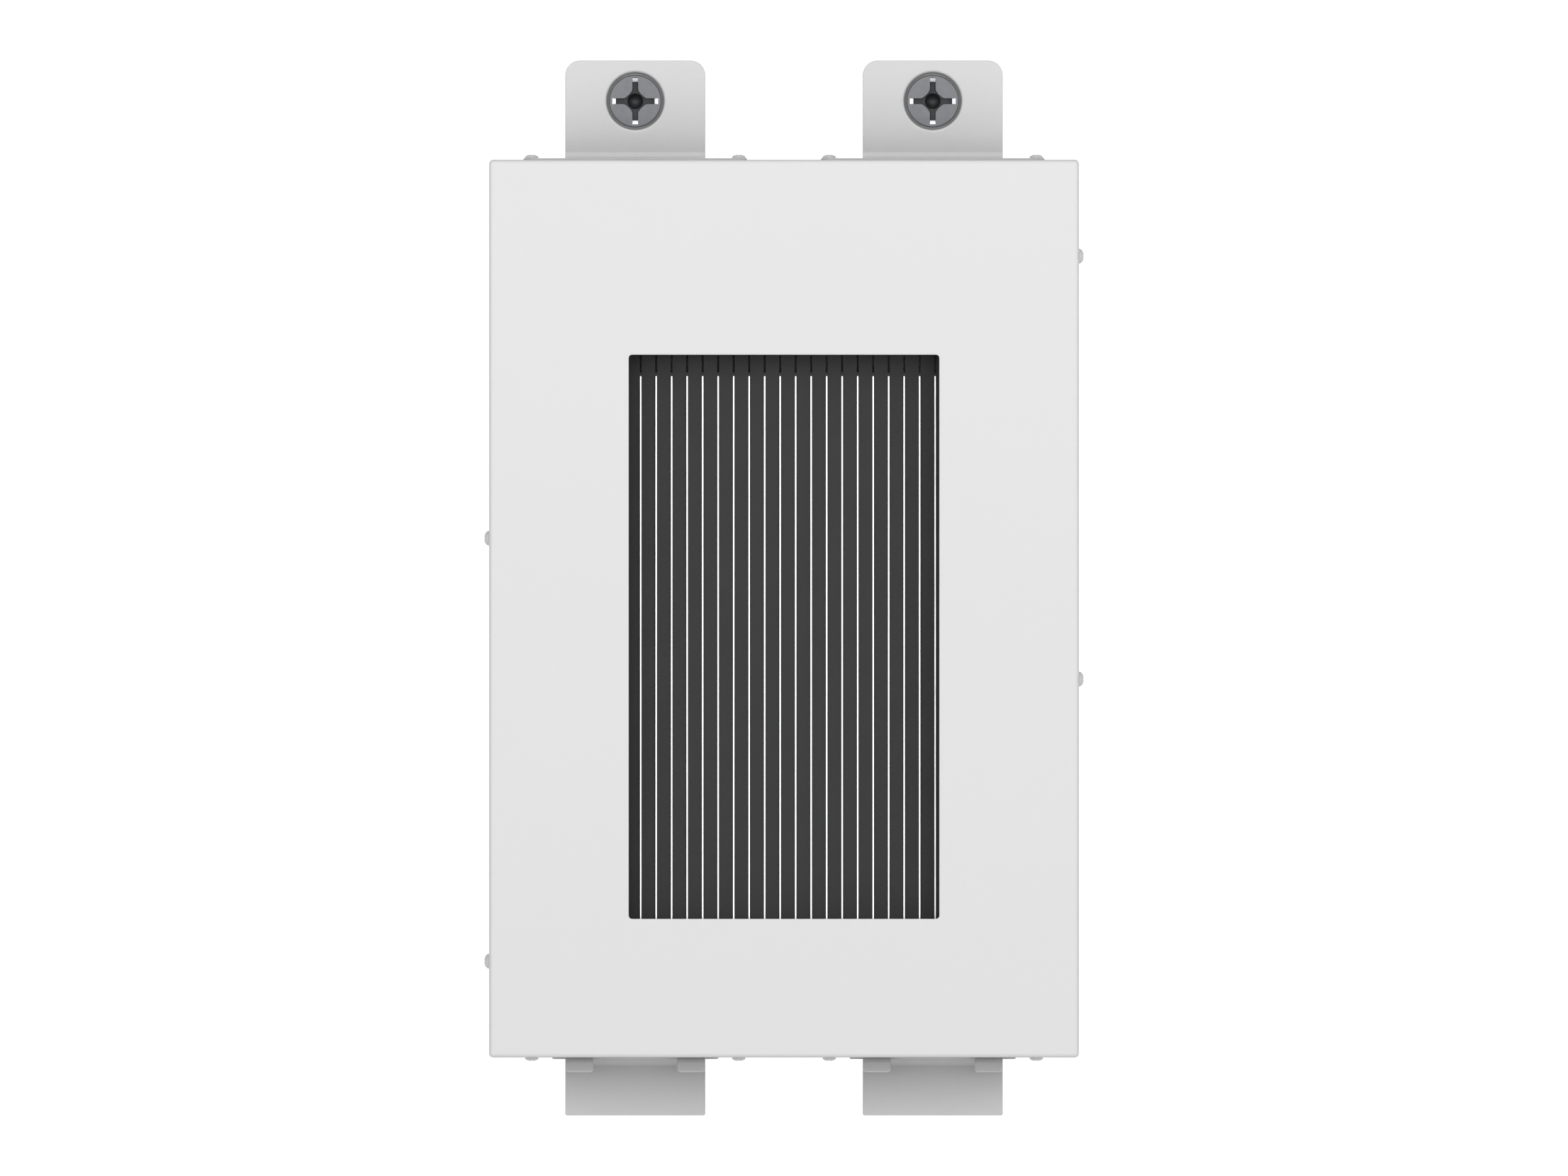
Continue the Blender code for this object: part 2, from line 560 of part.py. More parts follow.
def folded(name, outline, holes, bends, rings=()):
    """A folded sheet bracket. rings are extra loops, outermost first, that form a dish round a hole.

    Each ring is (points, sink): the sheet there lies deeper than the blank by sink.
    """
    shape = bmesh.new()
    inner_loops = list(holes) + ([rings[0][0]] if rings else [])
    loops = [outline] + inner_loops
    flat = [p for loop in loops for p in loop]
    verts = [shape.verts.new((a, b, 0.0)) for a, b in flat]
    for triangle in tessellate_polygon([[Vector((a, b, 0.0)) for a, b in loop] for loop in loops]):
        shape.faces.new([verts[i] for i in triangle])
    ring_verts = verts[len(verts) - len(rings[0][0]):] if rings else []
    for points, sink in rings[1:]:
        following = [shape.verts.new((a, b, sink)) for a, b in points]
        for i in range(len(points)):
            j = (i + 1) % len(points)
            shape.faces.new((ring_verts[i], ring_verts[j], following[j], following[i]))
        ring_verts = following
    for start, radius, *_ in bends:
        length = radius * math.pi / 2
        for step in range(BEND_STEPS + 1):
            level = start + length * step / BEND_STEPS
            bmesh.ops.bisect_plane(shape, geom=shape.verts[:] + shape.edges[:] + shape.faces[:],
                                   dist=1e-5, plane_co=(0.0, level, 0.0), plane_no=(0.0, 1.0, 0.0))
    shape.verts.index_update()
    count = len(shape.verts)
    front = [tuple(v.co) for v in shape.verts]
    rims = [tuple(v.index for v in edge.verts) for edge in shape.edges if edge.is_boundary]
    faces = [tuple(v.index for v in face.verts) for face in shape.faces]
    shape.free()
    points = [fold(x, run, sink, bends) for x, run, sink in front]
    points += [fold(x, run, sink + BRACKET_SHEET, bends) for x, run, sink in front]
    sides = [(a, b, b + count, a + count) for a, b in rims]
    return make_mesh(name, points, faces + [tuple(i + count for i in face) for face in faces] + sides)


def mirrored_half(half):
    """A closed outline from its right half, given from the top centre to the bottom centre."""
    left = [(-x, run) for x, run in reversed(half) if x != 0.0]
    return half + left


def hanging_blank():
    """Outline of the hanging bracket's blank, its bends and its two foot holes."""
    tab = TAB_WIDTH / 2
    bend_start = CASE_HEIGHT / 2 + HANG_TAB_RISE - FOOT_TOP - TAB_BEND
    bends = [(bend_start, TAB_BEND, TAB_FRONT_Y - TAB_BEND, FOOT_TOP + TAB_BEND, "tab")]
    foot_start = bend_start + TAB_BEND * math.pi / 2
    foot_end = foot_start + TAB_FRONT_Y - TAB_BEND - FOOT_FRONT_Y
    foot = HANG_FOOT_SCREW + HANG_FOOT_END
    relief = foot_start + BEND_RELIEF
    half = [(0.0, 0.0)] + arc((tab - HANG_TAB_CORNER, HANG_TAB_CORNER), HANG_TAB_CORNER, -90, 0, 8)
    half += [(tab, relief)]
    half += arc((foot - HANG_FOOT_CORNER, relief + HANG_FOOT_CORNER), HANG_FOOT_CORNER, -90, 0, CORNER_STEPS)
    half += arc((foot - HANG_FOOT_CORNER, foot_end - HANG_FOOT_CORNER), HANG_FOOT_CORNER, 0, 90, CORNER_STEPS)
    half += [(0.0, foot_end)]
    screw_run = foot_start + TAB_FRONT_Y - TAB_BEND - foot_screw_y()
    hole = DOME_SHANK_RADIUS + HOLE_GAP
    holes = [circle(hole, SMALL_STEPS, (side * HANG_FOOT_SCREW, screw_run)) for side in (-1, 1)]
    return mirrored_half(half), holes, bends


def dish_rings():
    """Rings of the dished seat: a rounded rim, a slope and a flat floor round the screw's hole."""
    foot = MOUNT_HEAD_RADIUS + DISH_CLEARANCE
    rim = foot + DISH_SLOPE
    steps = [(rim + DISH_LIP, 0.0), (rim + DISH_LIP / 3, DISH_LIP / 6),
             (rim - DISH_LIP / 3, DISH_LIP), (foot, DISH_DEPTH),
             (MOUNT_SHANK_RADIUS + FIT_GAP, DISH_DEPTH)]
    return [(circle(radius, ROUND_STEPS, (0.0, MOUNT_SCREW_SETBACK)), sink) for radius, sink in steps]


def build_hanging_brackets():
    outline, holes, bends = hanging_blank()
    mesh = folded("hanging_bracket", outline, holes, bends, dish_rings())
    for name, side in (("hanging_bracket_left", -1), ("hanging_bracket_right", 1)):
        add_piece(name, mesh, "grey_paint", (side * BRACKET_X, 0.0, 0.0), smooth=30)


def hook_blank():
    """Outline of the hook bracket's blank, drawn as if it stood upright, its bends and rivet holes."""
    tab = TAB_WIDTH / 2
    foot = HOOK_FOOT_HALF
    bend_start = CASE_HEIGHT / 2 + HOOK_TAB_DROP - FOOT_TOP - TAB_BEND
    ear_corner_y = FOOT_FRONT_Y + BRACKET_SHEET + EAR_BEND
    foot_start = bend_start + TAB_BEND * math.pi / 2
    ear_start = foot_start + TAB_FRONT_Y - TAB_BEND - ear_corner_y
    bends = [(bend_start, TAB_BEND, TAB_FRONT_Y - TAB_BEND, FOOT_TOP + TAB_BEND, "tab"),
             (ear_start, EAR_BEND, ear_corner_y, FOOT_TOP + EAR_BEND, "ear")]
    ear_end = ear_start + EAR_BEND * math.pi / 2 + CASE_HEIGHT / 2 + EAR_DROP - FOOT_TOP - EAR_BEND
    relief, front = foot_start + BEND_RELIEF, ear_start - BEND_RELIEF
    half = [(0.0, 0.0)] + arc((tab - HOOK_TAB_CORNER, HOOK_TAB_CORNER), HOOK_TAB_CORNER, -90, 0, CORNER_STEPS)
    half += [(tab, relief)]
    half += arc((foot - HOOK_FOOT_CORNER, relief + HOOK_FOOT_CORNER), HOOK_FOOT_CORNER, -90, 0, CORNER_STEPS)
    half += arc((foot - HOOK_FOOT_CORNER, front - HOOK_FOOT_CORNER), HOOK_FOOT_CORNER, 0, 90, CORNER_STEPS)
    half += [(tab, front)]
    half += arc((tab - EAR_CORNER, ear_end - EAR_CORNER), EAR_CORNER, 0, 90, CORNER_STEPS)
    inner = tab - EAR_WIDTH
    half += arc((inner + EAR_CORNER, ear_end - EAR_CORNER), EAR_CORNER, 90, 180, CORNER_STEPS)
    half += [(inner, front), (0.0, front)]
    rivet_run = foot_start + TAB_FRONT_Y - TAB_BEND - foot_screw_y()
    hole = RIVET_SHANK_RADIUS + HOLE_GAP
    holes = [circle(hole, SMALL_STEPS, (side * HOOK_RIVET_OFFSET, rivet_run)) for side in (-1, 1)]
    return mirrored_half(half), holes, bends


def build_hook_brackets():
    outline, holes, bends = hook_blank()
    mesh = folded("hook_bracket", outline, holes, bends)
    mesh.transform(Matrix.Diagonal((1.0, 1.0, -1.0, 1.0)))
    mesh.flip_normals()
    for name, side in (("hook_bracket_left", -1), ("hook_bracket_right", 1)):
        add_piece(name, mesh, "grey_paint", (side * BRACKET_X, 0.0, 0.0), smooth=30)


# Screws, rivets and grommets: turned about Y, with the head towards -Y

def dome_profile(radius, height, seat, steps):
    """Half an ellipse from the crown down to the seat."""
    angles = [math.pi / 2 * i / steps for i in range(steps + 1)]
    return [(radius * math.sin(a), seat - height * math.cos(a)) for a in angles]


def dome_screw_mesh():
    profile = dome_profile(DOME_RADIUS, DOME_HEIGHT, -SEAT_GAP, 4)
    profile += [(DOME_SHANK_RADIUS, -SEAT_GAP), (DOME_SHANK_RADIUS, DOME_SHANK_LENGTH), (0.0, DOME_SHANK_LENGTH)]
    return turned("dome_screw", profile, SMALL_STEPS)


def build_case_screws():
    mesh = dome_screw_mesh()
    for number, x in enumerate(end_screw_columns(), 1):
        add_piece(f"bracket_screw_{number}", mesh, "grey_paint", (x, foot_screw_y(), FOOT_TOP), (-90, 0, 0), 40)
        place = (x, COVER_SCREW_Y, -CASE_HEIGHT / 2)
        add_piece(f"bottom_cover_screw_{number}", mesh, "white_paint", place, (90, 0, 0), 40)
    for number, (side, z) in enumerate(side_screw_places(), 1):
        place = (side * CASE_WIDTH / 2, COVER_SCREW_Y, z)
        add_piece(f"side_cover_screw_{number}", mesh, "white_paint", place, (0, 0, side * 90), 40)


def rivet_columns():
    return [side * BRACKET_X + shift for side in (-1, 1) for shift in (-HOOK_RIVET_OFFSET, HOOK_RIVET_OFFSET)]


def build_rivets():
    """Rivets under the hook feet. The formed tail lies inside the chassis' bottom wall."""
    wall = BRACKET_SHEET + FIT_GAP + CHASSIS_SHEET
    profile = dome_profile(RIVET_RADIUS, RIVET_HEIGHT, -SEAT_GAP, 3)
    profile += [(RIVET_SHANK_RADIUS, -SEAT_GAP), (RIVET_SHANK_RADIUS, wall + SEAT_GAP),
                (RIVET_RADIUS * 0.9, wall + SEAT_GAP), (RIVET_RADIUS * 0.9, wall + RIVET_TAIL),
                (0.0, wall + RIVET_TAIL)]
    mesh = turned("hook_rivet", profile, SMALL_STEPS)
    for number, x in enumerate(rivet_columns(), 1):
        add_piece(f"hook_rivet_{number}", mesh, "zinc_plated", (x, foot_screw_y(), -FOOT_TOP), (90, 0, 0), 40)


def build_grommets():
    """Rubber bushings in the chassis' bottom wall. A thin membrane closes each until a lead is pushed in."""
    wall = CHASSIS_SHEET
    membrane = wall / 2
    profile = [(0.0, membrane - GROMMET_MEMBRANE), (GROMMET_BORE_RADIUS, membrane - GROMMET_MEMBRANE),
               (GROMMET_BORE_RADIUS, -GROMMET_FLANGE), (GROMMET_RADIUS - GROMMET_CHAMFER, -GROMMET_FLANGE),
               (GROMMET_RADIUS, -GROMMET_FLANGE + GROMMET_CHAMFER), (GROMMET_RADIUS, -SEAT_GAP),
               (GROMMET_NECK_RADIUS, -SEAT_GAP), (GROMMET_NECK_RADIUS, wall + SEAT_GAP),
               (GROMMET_RADIUS, wall + SEAT_GAP), (GROMMET_NECK_RADIUS, wall + 2 * GROMMET_FLANGE),
               (GROMMET_BORE_RADIUS, wall + 2 * GROMMET_FLANGE), (GROMMET_BORE_RADIUS, membrane),
               (0.0, membrane)]
    mesh = turned("grommet", profile, ROUND_STEPS)
    names = ("dc_inlet_grommet_1", "dc_inlet_grommet_2", "ac_outlet_grommet")
    for name, x in zip(names, grommet_columns()):
        add_piece(name, mesh, "black_rubber", (x, -GROMMET_ROW, -CHASSIS_HEIGHT / 2), (90, 0, 0), 40)


def cross_outline(span, width):
    """A plus sign: four wings round the middle."""
    long, short = span / 2, width / 2
    corner = [(long, -short), (long, short), (short, short)]
    points = []
    for quarter in range(4):
        turn = math.radians(90 * quarter)
        points += [(a * math.cos(turn) - b * math.sin(turn), a * math.sin(turn) + b * math.cos(turn))
                   for a, b in corner]
    return points


def mounting_screw_mesh():
    """Low round head with a cross recess, and a plain shank with a chamfered tip."""
    top = -SEAT_GAP - MOUNT_HEAD_HEIGHT
    edge = MOUNT_HEAD_EDGE
    profile = [(0.0, top)]
    profile += [(MOUNT_HEAD_RADIUS - edge + edge * math.sin(a), top + edge - edge * math.cos(a))
                for a in (0.0, math.pi / 6, math.pi / 3, math.pi / 2)]
    profile += [(MOUNT_HEAD_RADIUS, -SEAT_GAP), (MOUNT_SHANK_RADIUS, -SEAT_GAP),
                (MOUNT_SHANK_RADIUS, MOUNT_SHANK_LENGTH - MOUNT_TIP_CHAMFER),
                (MOUNT_SHANK_RADIUS - MOUNT_TIP_CHAMFER, MOUNT_SHANK_LENGTH), (0.0, MOUNT_SHANK_LENGTH)]
    screw = turned("mounting_screw", profile, ROUND_STEPS)
    above = 0.5
    widening = 1 + above / CROSS_DEPTH * (1 - CROSS_FLOOR_SPAN / CROSS_SPAN)
    mouth = cross_outline(CROSS_SPAN * widening, CROSS_WIDTH)
    floor = cross_outline(CROSS_FLOOR_SPAN, CROSS_FLOOR_WIDTH)
    wings = lofted("wings", [[(a, top - above, b) for a, b in mouth],
                             [(a, top + CROSS_DEPTH, b) for a, b in floor]])
    pit = turned("pit", [(0.0, top - above), (CROSS_PIT_RADIUS, top - above),
                         (CROSS_PIT_TIP, top + CROSS_PIT_DEPTH), (0.0, top + CROSS_PIT_DEPTH)], SMALL_STEPS)
    return combined(screw, [wings, pit], "DIFFERENCE")


def build_mounting_screws():
    mesh = mounting_screw_mesh()
    for name, side in (("mounting_screw_left", -1), ("mounting_screw_right", 1)):
        add_piece(name, mesh, "zinc_plated", (side * BRACKET_X, DISH_FLOOR_Y, MOUNT_SCREW_Z), smooth=30)


# Heatsink, guard plate and gasket

def fin_columns():
    first = FIN_PATTERN_SHIFT - FIN_PITCH * (FIN_COUNT - 1) / 2
    return [first + FIN_PITCH * i for i in range(FIN_COUNT)]


def build_heatsink():
    """A base with thin fins and two side rails that carry the guard plate."""
    rail = HEATSINK_HALF - RAIL_THICKNESS
    rail_tip = GUARD_REAR_Y + FIT_GAP
    channel = [(-HEATSINK_HALF, BASE_REAR_Y), (-HEATSINK_HALF, rail_tip), (-rail, rail_tip),
               (-rail, FIN_ROOT_Y), (rail, FIN_ROOT_Y), (rail, rail_tip),
               (HEATSINK_HALF, rail_tip), (HEATSINK_HALF, BASE_REAR_Y)]
    screw_holes = cylinders("holes", PILLAR_SCREW_RADIUS + HOLE_GAP, pillar_places(),
                            FIN_ROOT_Y - 1, BASE_REAR_Y + 1, "Y")
    body = slab("heatsink", channel, [], HEATSINK_BOTTOM, HEATSINK_TOP, "Z")
    body = combined(body, [screw_holes], "DIFFERENCE")
    half, sunk = FIN_THICKNESS / 2, HEATSINK_BASE / 4
    fins = boxes("fins", [((x - half, FIN_TIP_Y, FIN_BOTTOM), (x + half, FIN_ROOT_Y + sunk, FIN_TOP))
                          for x in fin_columns()])
    add_piece("heatsink", combined(body, [fins], "UNION"), "bare_aluminium")


def build_guard():
    """A flat plate with a long slot for each fin and a short open slot above it."""
    half = FIN_THICKNESS / 2 + SLOT_GAP
    holes = []
    for x in fin_columns():
        holes.append(rectangle((x - half, FIN_BOTTOM - SLOT_GAP), (x + half, FIN_TOP + SLOT_GAP)))
        low = FIN_TOP + SLOT_GAP + SLOT_BRIDGE
        holes.append(rectangle((x - half, low), (x + half, WINDOW_TOP + SHORT_SLOT_OVERRUN)))
    outline = rectangle((-HEATSINK_HALF, HEATSINK_BOTTOM), (HEATSINK_HALF, HEATSINK_TOP))
    add_piece("heatsink_guard", slab("heatsink_guard", outline, holes, GUARD_FRONT_Y, GUARD_REAR_Y),
              "black_coated")


def build_gasket():
    """A frame of black foam rubber that closes the recess between the cover and the guard plate."""
    centre = (0.0, WINDOW_Z)
    inner = rounded_rectangle(WINDOW_WIDTH + 2 * GASKET_SETBACK, WINDOW_HEIGHT + 2 * GASKET_SETBACK,
                              WINDOW_CORNER + GASKET_SETBACK, centre)
    reach = 2 * (GASKET_SETBACK + GASKET_WALL)
    outer = rounded_rectangle(WINDOW_WIDTH + reach, WINDOW_HEIGHT + reach,
                              WINDOW_CORNER + GASKET_SETBACK + GASKET_WALL, centre)
    mesh = slab("window_gasket", outer, [inner], COVER_INNER_Y + FIT_GAP, GUARD_FRONT_Y - FIT_GAP)
    add_piece("window_gasket", mesh, "black_rubber")


# Electronics

def build_boards():
    post_holes = [circle(PILLAR_SCREW_RADIUS, SMALL_STEPS, place) for place in pillar_places()]
    outline = rounded_rectangle(BOARD_WIDTH, BOARD_HEIGHT, BOARD_CORNER)
    add_piece("circuit_board", slab("circuit_board", outline, post_holes, BOARD_FRONT_Y, BOARD_REAR_Y),
              "board_green")
    reach = 2 * (CHASSIS_SHEET + INSULATION_CLEARANCE)
    outline = rounded_rectangle(CHASSIS_WIDTH - reach, CHASSIS_HEIGHT - reach, BOARD_CORNER)
    clearances = [circle(STANDOFF_RADIUS + 2 * FIT_GAP, SMALL_STEPS, place) for place in pillar_places()]
    rear = -CHASSIS_SHEET - FIT_GAP
    sheet = slab("insulation_sheet", outline, clearances, rear - INSULATION_THICKNESS, rear)
    add_piece("insulation_sheet", sheet, "clear_film")


def build_pillars():
    """Hexagon pillars from the board to the heatsink, and the screws that hold the heatsink on them."""
    bore = PILLAR_SCREW_RADIUS + HOLE_GAP
    hexagon = circle(PILLAR_RADIUS, 6)
    length = SEAT_Y - (BASE_REAR_Y + FIT_GAP)
    pillar = slab("heatsink_pillar", hexagon, [circle(bore, SMALL_STEPS)], -length, 0.0)
    head, height = PILLAR_SCREW_HEAD_RADIUS, PILLAR_SCREW_HEAD_HEIGHT
    reach = HEATSINK_BASE + PILLAR_SCREW_LENGTH
    profile = [(0.0, -height)] + [(head * 0.8, -height), (head, -height * 0.6), (head, -SEAT_GAP),
                                  (PILLAR_SCREW_RADIUS, -SEAT_GAP), (PILLAR_SCREW_RADIUS, reach), (0.0, reach)]
    screw = turned("heatsink_screw", profile, SMALL_STEPS)
    for number, (x, z) in enumerate(pillar_places(), 1):
        add_piece(f"heatsink_pillar_{number}", pillar, "zinc_plated", (x, SEAT_Y, z))
        add_piece(f"heatsink_screw_{number}", screw, "zinc_plated", (x, FIN_ROOT_Y, z), smooth=40)


def build_transistors():
    """A row of power transistors pressed to the heatsink's back through a thermal pad."""
    row_z = HEATSINK_TOP - TRANSISTOR_ROW
    pad_front = BASE_REAR_Y + FIT_GAP
    pad_rear = pad_front + PAD_THICKNESS
    span = (TRANSISTOR_COUNT - 1) * TRANSISTOR_PITCH + TRANSISTOR_WIDTH
    size = (span + 2 * PAD_MARGIN, TRANSISTOR_HEIGHT + 2 * PAD_MARGIN)
    pad = slab("thermal_pad", rounded_rectangle(*size, 1.0, (0.0, row_z)), [], pad_front, pad_rear)
    add_piece("thermal_pad", pad, "grey_silicone")

    front = pad_rear + FIT_GAP
    half_width, half_height = TRANSISTOR_WIDTH / 2, TRANSISTOR_HEIGHT / 2
    mould = [(0.0, -half_height), (TRANSISTOR_THICKNESS * 0.5, -half_height),
             (TRANSISTOR_THICKNESS, -half_height + TRANSISTOR_CHAMFER),
             (TRANSISTOR_THICKNESS, half_height - TRANSISTOR_TAB - TRANSISTOR_CHAMFER),
             (TRANSISTOR_THICKNESS * 0.4, half_height - TRANSISTOR_TAB),
             (TRANSISTOR_THICKNESS * 0.4, half_height),
             (0.0, half_height)]
    body = slab("power_transistor", mould, [], -half_width, half_width, "X")
    middle = TRANSISTOR_THICKNESS * 0.5
    drop = SEAT_Y - front
    foot = -half_height - LEAD_REACH
    root = -half_height + TRANSISTOR_LEAD_ROOT
    lead = [(middle, root), (middle - LEAD_THICKNESS, root),
            (middle - LEAD_THICKNESS, foot), (drop, foot), (drop, foot + LEAD_THICKNESS),
            (middle, foot + LEAD_THICKNESS)]
    leads = [slab("lead", lead, [], x - LEAD_WIDTH / 2, x + LEAD_WIDTH / 2, "X")
             for x in (-LEAD_PITCH, 0.0, LEAD_PITCH)]
    mesh = combined(body, leads, "UNION")
    for number in range(TRANSISTOR_COUNT):
        x = (number - (TRANSISTOR_COUNT - 1) / 2) * TRANSISTOR_PITCH
        add_piece(f"power_transistor_{number + 1}", mesh, "black_epoxy", (x, front, row_z))


def build_transformer():
    """A ferrite core of two E halves, and the taped winding round its middle leg."""
    x = -BOARD_WIDTH / 2 + EDGE_KEEPOUT + CORE_WIDTH / 2
    side_leg = CORE_LEG / 2
    hole_low, hole_high = CORE_LEG / 2, CORE_WIDTH / 2 - side_leg
    low, high = CORE_YOKE, CORE_HEIGHT - CORE_YOKE
    outline = rectangle((-CORE_WIDTH / 2, -CORE_HEIGHT), (CORE_WIDTH / 2, 0.0))
    holes = [rectangle((hole_low, -high), (hole_high, -low)), rectangle((-hole_high, -high), (-hole_low, -low))]
    core = slab("transformer_core", outline, holes, -CORE_THICKNESS / 2, CORE_THICKNESS / 2, "Z")
    place = (x, SEAT_Y, TOP_ZONE_Z)
    add_piece("transformer_core", core, "ferrite", place)
    inner = rounded_rectangle(CORE_LEG + 2 * FIT_GAP, CORE_THICKNESS + 2 * FIT_GAP, 0.5)
    outer = rounded_rectangle(2 * (hole_high - FIT_GAP), CORE_THICKNESS + 2 * WINDING_OVERHANG, 6.0)
    winding = slab("transformer_winding", outer, [inner], -high + FIT_GAP, -low - FIT_GAP)
    add_piece("transformer_winding", winding, "yellow_tape", place)


def build_capacitors():
    """Upright electrolytic capacitors with a crimped groove near the board, and a film capacitor."""
    radius, height = CAPACITOR_RADIUS, CAPACITOR_HEIGHT
    rounding, waist, groove = CAPACITOR_ROUNDING, radius - CAPACITOR_GROOVE, CAPACITOR_GROOVE_RISE
    shoulder, lip = 1.5 * rounding, radius - CAPACITOR_SLEEVE_LIP
    vent = rounding * 2 / 3
    profile = [(0.0, 0.0), (radius - rounding, 0.0), (radius, -rounding), (radius, -groove),
               (waist, -groove - rounding), (waist, -groove - 2 * rounding), (radius, -groove - 3 * rounding),
               (radius, -height + shoulder), (radius - shoulder, -height), (radius - 2 * shoulder, -height),
               (lip, -height + vent), (0.0, -height + vent)]
    mesh = turned("bulk_capacitor", profile, SMALL_STEPS)
    for number in range(CAPACITOR_COUNT):
        x = CAPACITOR_SHIFT + (number - (CAPACITOR_COUNT - 1) / 2) * CAPACITOR_PITCH
        add_piece(f"bulk_capacitor_{number + 1}", mesh, "capacitor_sleeve", (x, SEAT_Y, TOP_ZONE_Z), smooth=40)
    width, height, depth = FILM_SIZE
    film = slab("film_capacitor", rounded_rectangle(width, depth, 1.2), [], -height, 0.0)
    x = BOARD_WIDTH / 2 - EDGE_KEEPOUT - width / 2
    add_piece("film_capacitor", film, "grey_box_plastic", (x, SEAT_Y, TOP_ZONE_Z))


def choke_mesh():
    """A ring core wound with wire: the section swells at every turn, with two bare gaps between coils."""
    around, section = 6 * CHOKE_TURNS, 6
    rings = []
    for i in range(around):
        angle = 2 * math.pi * i / around
        wound = abs(math.sin(angle)) > 0.25
        turn = 0.12 * math.cos(2 * CHOKE_TURNS * angle) if wound else -0.22
        radius = CHOKE_WIRE_RADIUS * (0.86 + turn)
        ring = []
        for a, b in circle(radius, section):
            reach = CHOKE_RING_RADIUS + a
            ring.append((reach * math.cos(angle), b, reach * math.sin(angle)))
        rings.append(ring)
    points = [point for ring in rings for point in ring]
    faces = []
    for i in range(around):
        for j in range(section):
            a, b = i * section, (i + 1) % around * section
            k = (j + 1) % section
            faces.append((a + j, a + k, b + k, b + j))
    return make_mesh("common_mode_choke", points, faces)


def build_mains_parts():
    """Choke, relay and fuse beside the heatsink's right side."""
    seat = SEAT_Y - CHOKE_WIRE_RADIUS
    place = (SIDE_ZONE_X, seat, WINDOW_Z - CHOKE_DROP)
    add_piece("common_mode_choke", choke_mesh(), "enamelled_copper", place, smooth=60)
    width, height, depth = RELAY_SIZE
    relay = slab("output_relay", rounded_rectangle(width, depth, 0.8), [], -height, 0.0)
    add_piece("output_relay", relay, "blue_plastic", (SIDE_ZONE_X, SEAT_Y, WINDOW_Z + RELAY_RISE))
    cap, half = FUSE_LENGTH / 2 - FUSE_CAP_LENGTH, FUSE_LENGTH / 2
    tube = FUSE_TUBE_RADIUS
    profile = [(0.0, -half), (FUSE_RADIUS, -half), (FUSE_RADIUS, -cap), (tube, -cap),
               (tube, cap), (FUSE_RADIUS, cap), (FUSE_RADIUS, half), (0.0, half)]
    fuse = turned("line_fuse", profile, SMALL_STEPS)
    place = (SIDE_ZONE_X, SEAT_Y - FUSE_RADIUS, WINDOW_Z - FUSE_DROP)
    add_piece("line_fuse", fuse, "ceramic_tube", place, (90, 0, 0), 40)


def terminal_mesh(ways):
    """A terminal block with a wire pocket for each way, open to the case's bottom."""
    width, height, depth = TERMINAL_SIZE
    chamfer = TERMINAL_CHAMFER
    side = [(0.0, -depth / 2), (0.0, depth / 2), (-height + chamfer, depth / 2), (-height, depth / 2 - chamfer),
            (-height, -depth / 2)]
    body = slab("terminal_block", side, [], -width / 2, width / 2, "X")
    pocket_width, pocket_height = TERMINAL_POCKET
    pitch = width / ways
    pockets = []
    for way in range(ways):
        x = (way - (ways - 1) / 2) * pitch
        low = (x - pocket_width / 2, -TERMINAL_FLOOR - pocket_height, -depth / 2 - CUT_OVERRUN)
        pockets.append((low, (x + pocket_width / 2, -TERMINAL_FLOOR, depth / 2 - TERMINAL_BACK)))
    return combined(body, [boxes("pockets", pockets)], "DIFFERENCE")


def build_terminals():
    names = (("dc_terminal_block", -TERMINAL_SHIFT, 4), ("ac_terminal_block", TERMINAL_SHIFT, 3))
    for name, x, ways in names:
        add_piece(name, terminal_mesh(ways), "green_plastic", (x, SEAT_Y, BOTTOM_ZONE_Z))


def build_control_board():
    """A small board that stands on edge at the heatsink's left side, with its processor chip."""
    thickness, height, length = CONTROL_BOARD_SIZE
    low_z = WINDOW_Z - length / 2
    block = ((-thickness / 2, -height, low_z), (thickness / 2, 0.0, low_z + length))
    add_piece("control_board", boxes("control_board", [block]), "board_green", (-SIDE_ZONE_X, SEAT_Y, 0.0))
    chip = slab("control_chip", rounded_rectangle(*CONTROL_CHIP_SIZE[1:], 0.4), [], 0.0, CONTROL_CHIP_SIZE[0], "X")
    place = (-SIDE_ZONE_X + thickness / 2 + SEAT_GAP, SEAT_Y - height / 2, WINDOW_Z)
    add_piece("control_chip", chip, "black_epoxy", place)


def build_all():
    for old in list(bpy.data.objects):
        bpy.data.objects.remove(old, do_unlink=True)
    root = bpy.data.objects.new("micro_inverter", None)
    bpy.context.collection.objects.link(root)
    build_cover()
    build_chassis()
    build_hanging_brackets()
    build_hook_brackets()
    build_mounting_screws()
    build_case_screws()
    build_rivets()
    build_grommets()
    build_heatsink()
    build_guard()
    build_gasket()
    build_boards()
    build_pillars()
    build_transistors()
    build_transformer()
    build_capacitors()
    build_mains_parts()
    build_terminals()
    build_control_board()
    bpy.context.view_layer.update()


build_all()
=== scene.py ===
# %% [markdown]
# # The looks of a wall-hung micro inverter
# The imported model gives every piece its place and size. This script gives the pieces their finish: rounded
# edges on folded sheet, fine screws with recesses and threads, and materials made of nodes. Everything is
# placed from the frame, so a change of size in the model carries through.

import json
import math

import bmesh
import bpy
from mathutils import Matrix, Vector


